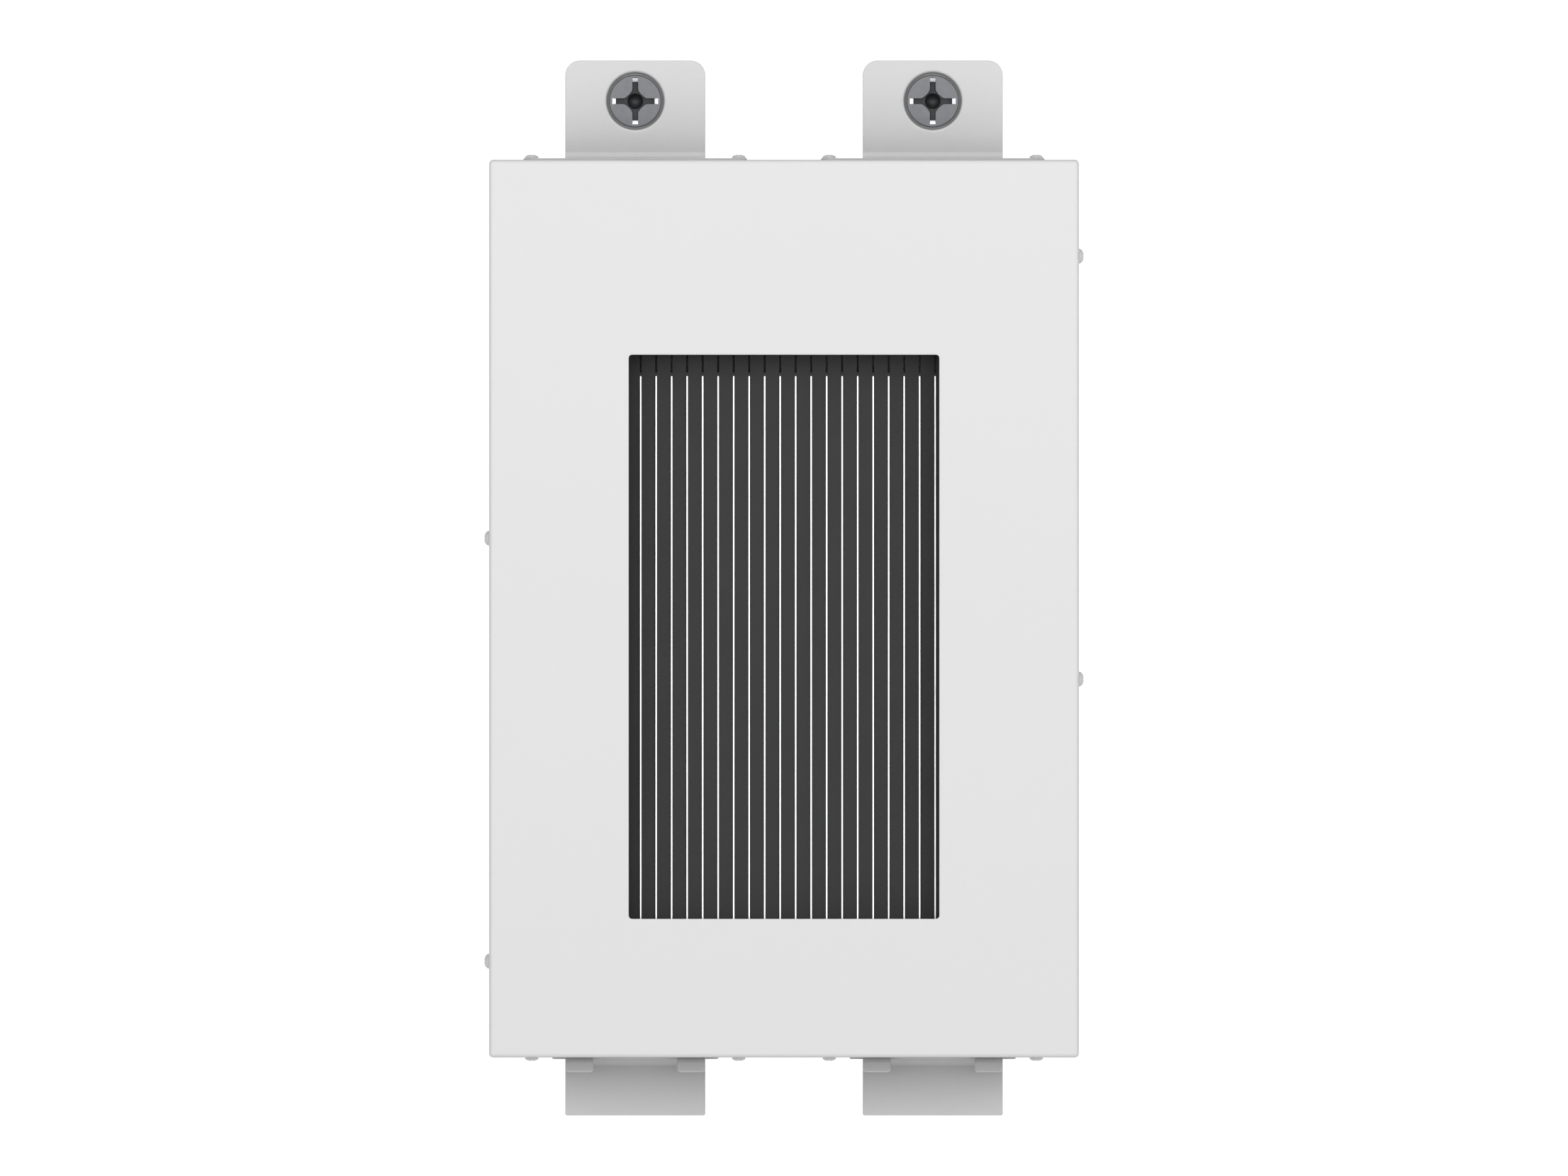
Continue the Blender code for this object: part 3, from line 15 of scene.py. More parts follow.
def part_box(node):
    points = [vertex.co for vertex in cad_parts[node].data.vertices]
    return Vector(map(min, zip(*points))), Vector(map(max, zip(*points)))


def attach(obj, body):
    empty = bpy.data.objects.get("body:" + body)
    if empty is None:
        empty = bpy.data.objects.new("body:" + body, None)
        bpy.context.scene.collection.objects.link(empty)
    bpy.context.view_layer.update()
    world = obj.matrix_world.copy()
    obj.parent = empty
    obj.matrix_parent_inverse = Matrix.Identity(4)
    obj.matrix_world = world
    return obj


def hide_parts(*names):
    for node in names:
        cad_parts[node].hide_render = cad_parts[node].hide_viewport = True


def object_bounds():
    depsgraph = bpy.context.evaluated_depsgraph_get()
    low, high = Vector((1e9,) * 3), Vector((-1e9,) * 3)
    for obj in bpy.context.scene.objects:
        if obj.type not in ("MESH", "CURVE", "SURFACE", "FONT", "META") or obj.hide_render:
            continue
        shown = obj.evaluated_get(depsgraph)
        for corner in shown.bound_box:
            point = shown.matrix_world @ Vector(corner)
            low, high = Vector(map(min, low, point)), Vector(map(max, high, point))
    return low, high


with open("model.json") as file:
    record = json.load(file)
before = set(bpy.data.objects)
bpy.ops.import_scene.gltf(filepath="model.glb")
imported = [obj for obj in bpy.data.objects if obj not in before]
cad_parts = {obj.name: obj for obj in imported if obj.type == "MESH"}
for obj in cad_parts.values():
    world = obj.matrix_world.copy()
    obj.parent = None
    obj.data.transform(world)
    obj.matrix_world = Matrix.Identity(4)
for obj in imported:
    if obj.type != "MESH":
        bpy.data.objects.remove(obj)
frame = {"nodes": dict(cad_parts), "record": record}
cad_low, cad_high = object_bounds()
MM = 0.001

# %% [markdown]
# ## The camera
# The product is seen straight from the front with no perspective, as in a catalogue drawing. An orthographic
# camera does this exactly: lines that run back into the case, such as the recess's walls, vanish. The frame is
# centred on the whole object, and the object fills about nine tenths of its height.

# %% Camera
OBJECT_SHARE = 0.897         # the object's height as a share of the picture's
PICTURE = (2212, 1659)

front_low, front_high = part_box("front_cover")
object_centre = (cad_low.z + cad_high.z) / 2
picture_height = (cad_high.z - cad_low.z) / OBJECT_SHARE

lens = bpy.data.cameras.new("catalogue_camera")
lens.type = "ORTHO"
lens.ortho_scale = picture_height * PICTURE[0] / PICTURE[1]
camera = bpy.data.objects.new("catalogue_camera", lens)
camera.location = (0.0, front_low.y - 1.5, object_centre)
camera.rotation_euler = (math.pi / 2, 0.0, 0.0)
bpy.context.collection.objects.link(camera)
bpy.context.scene.camera = camera
bpy.context.scene.view_settings.view_transform = "Standard"
print("picture covers", round(lens.ortho_scale / MM), "mm by", round(picture_height / MM), "mm")

# %% [markdown]
# ## The studio
# The front face has to read as an even pale white with no hot spot, and the tabs behind it have to darken
# towards the case. A surround does the first and some of the second: it is brightest round the camera, white
# behind the object, and dimmer overhead, at the sides and underfoot, as a white sweep with one broad front light
# is. The case's own depth shades the tabs a little, and painted shade in the brackets' paint darkens them more.
# Two narrow strip boxes, one above and one at the right, draw the thin highlights along the top and right bends.

# %% Surround
BRIGHTEST = 2.07
FRONT_TO_BACK = ((0.0, 1.0), (0.1, 0.86), (0.24, 0.4), (0.42, 0.1), (0.7, 0.14), (0.95, 0.5), (1.0, 0.5))
FLOOR_TO_CEILING = ((0.0, 0.5), (0.3, 0.9), (0.42, 1.0), (0.58, 1.0), (0.75, 0.7), (1.0, 0.4))


def ramp(tree, value, stops):
    """A value from -1 to 1 turned into a grey level by stops from 0 to 1."""
    share = tree.nodes.new("ShaderNodeMapRange")
    share.inputs["From Min"].default_value = -1.0
    tree.links.new(value, share.inputs["Value"])
    curve = tree.nodes.new("ShaderNodeValToRGB")
    curve.color_ramp.interpolation = "EASE"
    while len(curve.color_ramp.elements) < len(stops):
        curve.color_ramp.elements.new(0.5)
    for element, (position, level) in zip(curve.color_ramp.elements, stops):
        element.position = position
        element.color = (level, level, level, 1.0)
    tree.links.new(share.outputs["Result"], curve.inputs["Fac"])
    return curve.outputs["Color"]


def make_surround():
    world = bpy.data.worlds.new("studio")
    bpy.context.scene.world = world
    world.use_nodes = True
    tree = world.node_tree
    tree.nodes.clear()
    where = tree.nodes.new("ShaderNodeTexCoord")
    parts = tree.nodes.new("ShaderNodeSeparateXYZ")
    share = tree.nodes.new("ShaderNodeMath")
    share.operation = "MULTIPLY"
    level = tree.nodes.new("ShaderNodeMath")
    level.operation = "MULTIPLY"
    level.inputs[1].default_value = BRIGHTEST
    glow = tree.nodes.new("ShaderNodeBackground")
    glow.inputs["Color"].default_value = (1.0, 1.0, 1.0, 1.0)
    out = tree.nodes.new("ShaderNodeOutputWorld")
    tree.links.new(where.outputs["Generated"], parts.inputs[0])
    tree.links.new(ramp(tree, parts.outputs["Y"], FRONT_TO_BACK), share.inputs[0])
    tree.links.new(ramp(tree, parts.outputs["Z"], FLOOR_TO_CEILING), share.inputs[1])
    tree.links.new(share.outputs[0], level.inputs[0])
    tree.links.new(level.outputs[0], glow.inputs["Strength"])
    tree.links.new(glow.outputs[0], out.inputs["Surface"])


make_surround()

# %% Strip boxes and floor
def strip_box(name, offset, size, power):
    """A long narrow soft box at an offset from the front face's middle, turned towards it."""
    light = bpy.data.lights.new(name, "AREA")
    light.shape = "RECTANGLE"
    light.size, light.size_y = size
    light.energy = power
    lamp = bpy.data.objects.new(name, light)
    lamp.location = front + Vector(offset)
    lamp.rotation_euler = (front - lamp.location).to_track_quat("-Z", "Y").to_euler()
    bpy.context.collection.objects.link(lamp)
    return lamp


front = Vector((0.0, front_low.y, object_centre))
strip_box("top_strip", (0.0, -0.85, 1.8), (1.6, 0.08), 2.0)
strip_box("right_strip", (1.8, -0.85, 0.0), (0.08, 1.6), 2.0)

FLOOR_DROP = 0.16            # the case hangs, so the floor lies this far below its lowest tab
FLOOR_SIZE = 5.0


def make_floor():
    shape = bmesh.new()
    bmesh.ops.create_grid(shape, x_segments=1, y_segments=1, size=FLOOR_SIZE / 2)
    mesh = bpy.data.meshes.new("floor")
    shape.to_mesh(mesh)
    shape.free()
    floor = bpy.data.objects.new("floor", mesh)
    floor.location = (0.0, 0.0, cad_low.z - FLOOR_DROP)
    bpy.context.collection.objects.link(floor)
    return floor


floor = make_floor()
print("floor at", round(floor.location.z / MM), "mm")

# %% [markdown]
# ## Materials
# Every finish starts from the same three questions: what colour is it, how rough is it, and what is the finest
# detail that the hand would feel? The colour drifts a little over the piece, the roughness drifts with it, and
# a noise at the true grain size tilts the surface. One recipe answers them for paint, rubber and moulded
# plastic. Metals that were drawn, turned or printed get a recipe of their own below.

# %% A recipe for coated and moulded surfaces
def start_material(name, colour, roughness, metallic=0.0, specular=0.5):
    material = bpy.data.materials.new(name)
    material.use_nodes = True
    tree = material.node_tree
    shader = tree.nodes["Principled BSDF"]
    shader.inputs["Base Color"].default_value = (*colour, 1.0)
    shader.inputs["Roughness"].default_value = roughness
    shader.inputs["Metallic"].default_value = metallic
    shader.inputs["Specular IOR Level"].default_value = specular
    material.diffuse_color = (*colour, 1.0)
    return material, tree, shader


def object_space(tree, stretch=(1.0, 1.0, 1.0)):
    """Coordinates in metres on the piece itself, stretched where a grain runs one way."""
    where = tree.nodes.new("ShaderNodeTexCoord")
    mapping = tree.nodes.new("ShaderNodeMapping")
    mapping.inputs["Scale"].default_value = stretch
    tree.links.new(where.outputs["Object"], mapping.inputs["Vector"])
    return mapping.outputs["Vector"]


def noise(tree, space, size, detail=3.0):
    """Noise whose features are about size metres across."""
    texture = tree.nodes.new("ShaderNodeTexNoise")
    texture.inputs["Scale"].default_value = 1.0 / size
    texture.inputs["Detail"].default_value = detail
    tree.links.new(space, texture.inputs["Vector"])
    return texture.outputs["Fac"]


def remap(tree, value, low, high):
    """A 0 to 1 value spread between low and high."""
    change = tree.nodes.new("ShaderNodeMapRange")
    change.inputs["From Min"].default_value = 0.25
    change.inputs["From Max"].default_value = 0.75
    change.inputs["To Min"].default_value = low
    change.inputs["To Max"].default_value = high
    tree.links.new(value, change.inputs["Value"])
    return change.outputs["Result"]


def drift_colour(tree, shader, value, colour, amount):
    """Mixes the colour with a slightly darker one by the value."""
    mix = tree.nodes.new("ShaderNodeMix")
    mix.data_type = "RGBA"
    mix.inputs["A"].default_value = (*[c * (1.0 - amount) for c in colour], 1.0)
    mix.inputs["B"].default_value = (*colour, 1.0)
    tree.links.new(value, mix.inputs["Factor"])
    tree.links.new(mix.outputs["Result"], shader.inputs["Base Color"])


def tilt(tree, shader, height, depth, strength=1.0):
    """Bump whose full height is depth metres."""
    bump = tree.nodes.new("ShaderNodeBump")
    bump.inputs["Distance"].default_value = depth
    bump.inputs["Strength"].default_value = strength
    tree.links.new(height, bump.inputs["Height"])
    tree.links.new(bump.outputs["Normal"], shader.inputs["Normal"])


def coated(name, colour, roughness, grain, depth, drift=0.03, cloud=0.03, specular=0.5, gloss=0.0):
    """Paint, rubber or moulded plastic: a fine grain and slow drifts of colour and roughness."""
    material, tree, shader = start_material(name, colour, roughness, 0.0, specular)
    shader.inputs["Coat Weight"].default_value = gloss
    shader.inputs["Coat Roughness"].default_value = 0.16
    space = object_space(tree)
    slow = noise(tree, space, cloud, 2.0)
    drift_colour(tree, shader, slow, colour, drift)
    tree.links.new(remap(tree, slow, roughness - 0.04, roughness + 0.04), shader.inputs["Roughness"])
    tilt(tree, shader, noise(tree, space, grain, 4.0), depth)
    return material


# %% [markdown]
# ## Painted shade in corners
# The brackets' paint is painted darker where the tabs run in behind the case, as painted shade for the shadow
# that the case throws there. The heatsink's channels behind the guard are painted darker still, a painted shade
# that leaves only the fins' edges bright. The Ambient Occlusion node measures how shut in each point is by the
# metal round it, so the painted shade follows the real corners without any hand-placed mask.

# %% Painted shade in corners
CORNER_REACH = 60 * MM


def painted_corner_shade(material, darkest, shut, clear):
    """Painted shade: multiplies the base colour by darkest where a point's openness is shut or less, and by 1 from
    clear up.
    """
    tree = material.node_tree
    shader = tree.nodes["Principled BSDF"]
    colour = shader.inputs["Base Color"].links[0].from_socket
    shelter = tree.nodes.new("ShaderNodeAmbientOcclusion")
    shelter.samples = 8
    shelter.inputs["Distance"].default_value = CORNER_REACH
    share = tree.nodes.new("ShaderNodeMapRange")
    for name, value in (("From Min", shut), ("From Max", clear), ("To Min", darkest), ("To Max", 1.0)):
        share.inputs[name].default_value = value
    # painted shade: the base colour is multiplied darker where the AO node finds the point shut in
    painted_shade_mix = tree.nodes.new("ShaderNodeMix")
    painted_shade_mix.data_type = "RGBA"
    painted_shade_mix.blend_type = "MULTIPLY"
    painted_shade_mix.inputs["Factor"].default_value = 1.0
    tree.links.new(shelter.outputs["AO"], share.inputs["Value"])
    tree.links.new(colour, painted_shade_mix.inputs["A"])
    tree.links.new(share.outputs["Result"], painted_shade_mix.inputs["B"])
    tree.links.new(painted_shade_mix.outputs["Result"], shader.inputs["Base Color"])


# %% [markdown]
# ## Metals
# Drawn aluminium shows fine lines along its length, which is a noise stretched many times along that axis.
# A machine screw's head is faced on a lathe, so its lines are rings about the axis. Zinc plating is a little
# blue and never mirror-bright, so it keeps a high roughness.

# %% Recipes for bare and plated metal
def drawn_metal(name, colour, roughness, line=0.12 * MM, length=14 * MM):
    material, tree, shader = start_material(name, colour, roughness, 1.0)
    space = object_space(tree, (1.0, 1.0, line / length))
    lines = noise(tree, space, line, 2.0)
    drift_colour(tree, shader, lines, colour, 0.06)
    tree.links.new(remap(tree, lines, roughness - 0.08, roughness + 0.08), shader.inputs["Roughness"])
    tilt(tree, shader, lines, 0.004 * MM)
    return material


def turned_metal(name, colour, roughness, ring=0.16 * MM, metallic=0.9):
    """Lathe rings about the piece's own Y axis, under a cloudy plating."""
    material, tree, shader = start_material(name, colour, roughness, metallic)
    space = object_space(tree)
    rings = tree.nodes.new("ShaderNodeTexWave")
    rings.wave_type = "RINGS"
    rings.rings_direction = "Y"
    rings.inputs["Scale"].default_value = 0.3 / ring
    rings.inputs["Distortion"].default_value = 0.6
    tree.links.new(space, rings.inputs["Vector"])
    cloud = noise(tree, space, 1.6 * MM, 4.0)
    drift_colour(tree, shader, cloud, colour, 0.14)
    tree.links.new(remap(tree, cloud, roughness - 0.06, roughness + 0.08), shader.inputs["Roughness"])
    tilt(tree, shader, rings.outputs["Fac"], 0.0025 * MM)
    return material


# %% [markdown]
# ## Electronics
# A circuit board is green lacquer over copper tracks. A Voronoi pattern with straight cells stands for the
# tracks, seen as slightly lighter and raised lines. Capacitor sleeves carry one pale stripe down the side that
# marks the negative lead. Wound coils show each turn of wire.

# %% Recipes for the board and what stands on it
def circuit_laminate(name, lacquer, track):
    material, tree, shader = start_material(name, lacquer, 0.42)
    space = object_space(tree)
    cells = tree.nodes.new("ShaderNodeTexVoronoi")
    cells.distance = "MANHATTAN"
    cells.feature = "F1"
    cells.inputs["Scale"].default_value = 1.0 / (5.0 * MM)
    tree.links.new(space, cells.inputs["Vector"])
    step = tree.nodes.new("ShaderNodeMath")
    step.operation = "PINGPONG"
    step.inputs[1].default_value = 0.11
    tree.links.new(cells.outputs["Distance"], step.inputs[0])
    edge = tree.nodes.new("ShaderNodeMapRange")
    edge.inputs["From Min"].default_value = 0.05
    edge.inputs["From Max"].default_value = 0.07
    tree.links.new(step.outputs[0], edge.inputs["Value"])
    mix = tree.nodes.new("ShaderNodeMix")
    mix.data_type = "RGBA"
    mix.inputs["A"].default_value = (*lacquer, 1.0)
    mix.inputs["B"].default_value = (*track, 1.0)
    tree.links.new(edge.outputs["Result"], mix.inputs["Factor"])
    tree.links.new(mix.outputs["Result"], shader.inputs["Base Color"])
    tilt(tree, shader, edge.outputs["Result"], 0.03 * MM)
    return material


def striped_sleeve(name, sleeve, stripe):
    """A shrink sleeve with one pale stripe on the side that faces down."""
    material, tree, shader = start_material(name, sleeve, 0.33)
    space = object_space(tree)
    facing = tree.nodes.new("ShaderNodeNewGeometry")
    parts = tree.nodes.new("ShaderNodeSeparateXYZ")
    tree.links.new(facing.outputs["Normal"], parts.inputs[0])
    edge = tree.nodes.new("ShaderNodeMath")
    edge.operation = "LESS_THAN"
    edge.inputs[1].default_value = -0.93
    tree.links.new(parts.outputs["Z"], edge.inputs[0])
    mix = tree.nodes.new("ShaderNodeMix")
    mix.data_type = "RGBA"
    mix.inputs["A"].default_value = (*sleeve, 1.0)
    mix.inputs["B"].default_value = (*stripe, 1.0)
    tree.links.new(edge.outputs[0], mix.inputs["Factor"])
    tree.links.new(mix.outputs["Result"], shader.inputs["Base Color"])
    tilt(tree, shader, noise(tree, space, 0.9 * MM), 0.01 * MM)
    return material


def wound_wire(name, colour, turn=0.8 * MM, metallic=0.7):
    material, tree, shader = start_material(name, colour, 0.3, metallic)
    space = object_space(tree)
    turns = tree.nodes.new("ShaderNodeTexWave")
    turns.wave_type = "BANDS"
    turns.bands_direction = "Y"
    turns.inputs["Scale"].default_value = 0.3 / turn
    tree.links.new(space, turns.inputs["Vector"])
    drift_colour(tree, shader, turns.outputs["Fac"], colour, 0.3)
    tilt(tree, shader, turns.outputs["Fac"], 0.15 * MM)
    return material


# %% All the finishes
finishes = {
    "white_paint": coated("white_powder_coat", (0.80, 0.80, 0.80), 0.42, 0.8 * MM, 0.003 * MM, 0.012, 0.04, 0.35, 0.4),
    "grey_paint": coated("bracket_powder_coat", (0.76, 0.76, 0.76), 0.42, 0.8 * MM, 0.003 * MM, 0.015, 0.02, 0.25, 0.0),
    "zinc_plated": turned_metal("zinc_plated_steel", (0.19, 0.194, 0.204), 0.42),
    "black_coated": coated("matt_black_coating", (0.032, 0.032, 0.033), 0.6, 0.25 * MM, 0.008 * MM, 0.12, 0.012,
                           0.35),
    "bare_aluminium": drawn_metal("bright_aluminium", (0.93, 0.93, 0.94), 0.34),
    "black_rubber": coated("black_rubber", (0.018, 0.018, 0.018), 0.78, 0.35 * MM, 0.03 * MM, 0.3, 0.006, 0.3),
    "board_green": circuit_laminate("green_laminate", (0.010, 0.085, 0.030), (0.03, 0.20, 0.07)),
    "clear_film": coated("insulating_film", (0.72, 0.66, 0.50), 0.35, 2.5 * MM, 0.02 * MM, 0.06, 0.02),
    "grey_silicone": coated("silicone_pad", (0.28, 0.34, 0.40), 0.8, 0.4 * MM, 0.02 * MM, 0.1, 0.004),
    "black_epoxy": coated("moulded_epoxy", (0.028, 0.028, 0.028), 0.5, 0.15 * MM, 0.006 * MM, 0.1, 0.004),
    "ferrite": coated("sintered_ferrite", (0.055, 0.055, 0.06), 0.55, 0.2 * MM, 0.01 * MM, 0.25, 0.003),
    "yellow_tape": coated("winding_tape", (0.78, 0.52, 0.05), 0.28, 1.5 * MM, 0.02 * MM, 0.08, 0.006),
    "capacitor_sleeve": striped_sleeve("capacitor_sleeve", (0.02, 0.035, 0.10), (0.55, 0.57, 0.60)),
    "grey_box_plastic": coated("grey_box_plastic", (0.40, 0.42, 0.45), 0.45, 0.3 * MM, 0.01 * MM, 0.05, 0.01),
    "enamelled_copper": wound_wire("enamelled_copper", (0.62, 0.22, 0.07)),
    "blue_plastic": coated("blue_box_plastic", (0.03, 0.10, 0.38), 0.42, 0.3 * MM, 0.01 * MM, 0.06, 0.01),
    "ceramic_tube": coated("fuse_ceramic", (0.80, 0.78, 0.72), 0.4, 0.5 * MM, 0.01 * MM, 0.05, 0.004),
    "green_plastic": coated("green_terminal_plastic", (0.03, 0.26, 0.09), 0.45, 0.3 * MM, 0.01 * MM, 0.06, 0.01),
}
# painted shade: the brackets' paint darkens where the tabs run in behind the case
painted_corner_shade(finishes["grey_paint"], 0.68, 0.48, 0.78)
# painted shade: the aluminium goes near black in the heatsink's shut-in channels, leaving the fin edges bright
painted_corner_shade(finishes["bare_aluminium"], 0.04, 0.1, 0.3)
slots = {entry["node"]: entry["material_slot"] for entry in frame["record"]["subparts"]}
for node, obj in frame["nodes"].items():
    obj.data.materials.clear()
    obj.data.materials.append(finishes[slots[node]])
print("finishes:", len(finishes))

floor_finish = coated("studio_floor", (0.80, 0.80, 0.80), 0.6, 2.0 * MM, 0.01 * MM, 0.02, 0.3)
floor_shader = floor_finish.node_tree.nodes["Principled BSDF"]
floor_shader.inputs["Emission Color"].default_value = (1.0, 1.0, 1.0, 1.0)
floor_shader.inputs["Emission Strength"].default_value = 0.17
floor.data.materials.append(floor_finish)

# %% [markdown]
# ## Turned pieces
# Screws, rivets and grommets are solids of revolution. A profile of radius and height is spun about Y, the axis
# that the screws' heads face along. A recess is cut by the exact Boolean solver, and threads are made by letting
# the radius rise and fall along a helix instead of by sweeping a ridge, so the surface stays one closed skin.

# %% Tools for turned pieces
def new_mesh(name, points, faces):
    mesh = bpy.data.meshes.new(name)
    shape = bmesh.new()
    verts = [shape.verts.new(p) for p in points]
    for face in faces:
        shape.faces.new([verts[i] for i in face])
    bmesh.ops.recalc_face_normals(shape, faces=shape.faces)
    shape.to_mesh(mesh)
    shape.free()
    return mesh


def turned(name, profile, steps, swell=None):
    """Spins (radius, y) about Y. swell(angle, y) adds to the radius where the surface isn't round."""
    points, rings = [], []
    for radius, y in profile:
        if radius == 0.0:
            rings.append([len(points)] * steps)
            points.append((0.0, y, 0.0))
            continue
        rings.append(range(len(points), len(points) + steps))
        for i in range(steps):
            angle = 2 * math.pi * i / steps
            reach = radius + (swell(angle, y) if swell else 0.0)
            points.append((reach * math.cos(angle), y, reach * math.sin(angle)))
    faces = []
    for ring, following in zip(rings, rings[1:]):
        for i in range(steps):
            j = (i + 1) % steps
            corners = [ring[i], ring[j], following[j], following[i]]
            faces.append(tuple(dict.fromkeys(corners)))
    return new_mesh(name, points, faces)


def quarter_round(centre, radius, start, end, steps):
    """(radius, y) points on an arc. Angles are in degrees from +radius towards +y."""
    turns = [math.radians(start + (end - start) * i / steps) for i in range(steps + 1)]
    return [(centre[0] + radius * math.cos(a), centre[1] + radius * math.sin(a)) for a in turns]


def combine(mesh, operation, *tools):
    """The mesh joined with the tools, or with the tools' volumes taken away."""
    work = bpy.data.objects.new("work", mesh)
    bpy.context.collection.objects.link(work)
    helpers = []
    for tool in tools:
        helper = bpy.data.objects.new("tool", tool)
        bpy.context.collection.objects.link(helper)
        modifier = work.modifiers.new("combine", "BOOLEAN")
        modifier.operation = operation
        modifier.solver = "EXACT"
        modifier.object = helper
        helpers.append(helper)
    bpy.context.view_layer.update()
    result = bpy.data.meshes.new_from_object(work.evaluated_get(bpy.context.evaluated_depsgraph_get()))
    for item in helpers + [work]:
        bpy.data.objects.remove(item, do_unlink=True)
    return result


def lofted(name, loops):
    """A closed solid through loops of points, each loop with as many points as the last."""
    count = len(loops[0])
    points = [point for loop in loops for point in loop]
    faces = [tuple(range(count)), tuple(range(len(points) - count, len(points)))]
    for layer in range(len(loops) - 1):
        base = layer * count
        for i in range(count):
            j = (i + 1) % count
            faces.append((base + i, base + j, base + count + j, base + count + i))
    return new_mesh(name, points, faces)


def cross_recess(top, wings, pit, flare):
    """Cutters for a cross recess in the plane y = top. Each level of the wings is (depth, reach, half width)."""
    loops = []
    for depth, reach, half in wings:
        loop = []
        for quarter in range(4):
            c, s = math.cos(quarter * math.pi / 2), math.sin(quarter * math.pi / 2)
            root = pit[1][0] * 0.7
            side = [(pit[1][0] + 1.9 * flare, half), (pit[1][0] + 0.6 * flare, half + 0.26 * flare),
                    (pit[1][0] - 0.3 * flare, half + flare)]
            corner = [(reach, -half), (reach, half), *side, (root, root), *[(b, a) for a, b in reversed(side)]]
            loop += [(a * c - b * s, top + depth, a * s + b * c) for a, b in corner]
        loops.append(loop)
    cone = [(0.0, top + pit[0][1])] + [(radius, top + depth) for radius, depth in pit]
    return lofted("wings", loops), turned("pit", cone, 48)


def place(mesh, name, location, turn, finish, body, node, angle=28.0):
    """An object on the mesh at a place in the frame, turned, smooth-shaded and settled on its body."""
    if not mesh.materials or not mesh.materials[0]:
        mesh.materials.clear()
        mesh.materials.append(finish)
    mesh.shade_smooth()
    mesh.set_sharp_from_angle(angle=math.radians(angle))
    piece = bpy.data.objects.new(name, mesh)
    piece.location = location
    piece.rotation_euler = turn
    bpy.context.collection.objects.link(piece)
    return settle(piece, body, node)


# %% [markdown]
# ## Folded sheet and machined plate
# A laser-cut, folded and powder-coated sheet has no sharp edge left: the coating rounds every edge to about
# the coating's own thickness and more. The model's nodes have the right folds but sharp edges. Each visible one
# is copied into a piece of its own, its flat triangles are merged into whole faces, and a Bevel modifier rounds
# the edges. Weighted normals then keep the large flats flat right up to the rounding.

# %% The dished seats in the hanging tabs
DISH_STEPS = 96
DISH_REACH = 10.6 * MM       # the pressed area's outer radius
DISH_PROFILE = [             # (radius, depth) in mm below the tab's face: lip, wall, floor, hole, rear
    (8.75, 0.8), (8.48, 1.72), (8.36, 1.9), (8.1, 2.0), (4.3, 2.0), (4.3, 3.5), (8.8, 3.5), (9.0, 3.3),
    (9.9, 1.62), (10.1, 1.5)]
LIP = (9.55, 0.8)            # the lip's arc: its centre's radius, and its own radius


def with_fine_dish(mesh, axis):
    """The tab with its coarse pressed seat taken out and a smooth round one put in."""
    face = axis.y - 2.0 * MM
    lip = quarter_round((LIP[0], LIP[1]), LIP[1], -90, -180, 8)
    section = [(DISH_REACH / MM, 0.0)] + lip[:-1] + DISH_PROFILE + [(DISH_REACH / MM, 1.5)]
    ring = turned("dish", [(radius * MM, depth * MM) for radius, depth in section + section[:1]], DISH_STEPS)
    ring.transform(Matrix.Translation((axis.x, face, axis.z)))
    drill = turned("drill", [(0.0, -MM), (DISH_REACH, -MM), (DISH_REACH, 6 * MM), (0.0, 6 * MM)], DISH_STEPS)
    drill.transform(Matrix.Translation((axis.x, face, axis.z)))
    return combine(combine(mesh, "DIFFERENCE", drill), "UNION", ring)


# %% Soft-edged copies of the model's nodes
FLAT_ANGLE = math.radians(0.4)
EDGE_ANGLE = math.radians(60.0)
FLAT_COSINE = 0.99995        # faces this square to an axis are flat sheet, the others belong to a bend or a seat


def body_of_node(node):
    return next(name for name, nodes in frame["record"]["behaviour"]["bodies"].items() if node in nodes)


def settle(piece, body, *nodes):
    """Makes the piece ride on its body and stand for the model's nodes."""
    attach(piece, body)
    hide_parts(*nodes)
    return piece


def mark_edges(shape, seat):
    """Marks the sharp edges for rounding. A pressed seat has a finer rounding of its own and is left out."""
    weight = shape.edges.layers.float.new("bevel_weight_edge")
    for edge in shape.edges:
        sharp = edge.is_manifold and edge.calc_face_angle() > EDGE_ANGLE
        pressed = seat and all(math.hypot(v.co.x - seat.x, v.co.z - seat.z) < DISH_REACH + 0.1 * MM
                               for v in edge.verts)
        edge[weight] = float(sharp and not pressed)


def soften(piece, edge, segments=2):
    """Rounds the marked edges and keeps the flats flat."""
    for polygon in piece.data.polygons:
        polygon.use_smooth = max(abs(part) for part in polygon.normal) < FLAT_COSINE
    if edge:
        bevel = piece.modifiers.new("rounded_edges", "BEVEL")
        bevel.width = edge
        bevel.segments = segments
        bevel.limit_method = "WEIGHT"
        bevel.use_clamp_overlap = False
    normals = piece.modifiers.new("flat_faces", "WEIGHTED_NORMAL")
    normals.keep_sharp = True
    return piece


def soft_copy(node, name, edge, segments=2, dish_at=None):
    mesh = frame["nodes"][node].data.copy()
    mesh.name = name
    if dish_at:
        mesh = with_fine_dish(mesh, dish_at)
    shape = bmesh.new()
    shape.from_mesh(mesh)
    bmesh.ops.remove_doubles(shape, verts=shape.verts, dist=0.002 * MM)
    bmesh.ops.dissolve_limit(shape, angle_limit=FLAT_ANGLE, verts=shape.verts, edges=shape.edges)
    mark_edges(shape, dish_at)
    shape.to_mesh(mesh)
    shape.free()
    piece = bpy.data.objects.new(name, mesh)
    bpy.context.collection.objects.link(piece)
    soften(piece, edge, segments)
    if not edge:
        mesh.set_sharp_from_angle(angle=math.radians(35.0))
    return settle(piece, body_of_node(node), node)


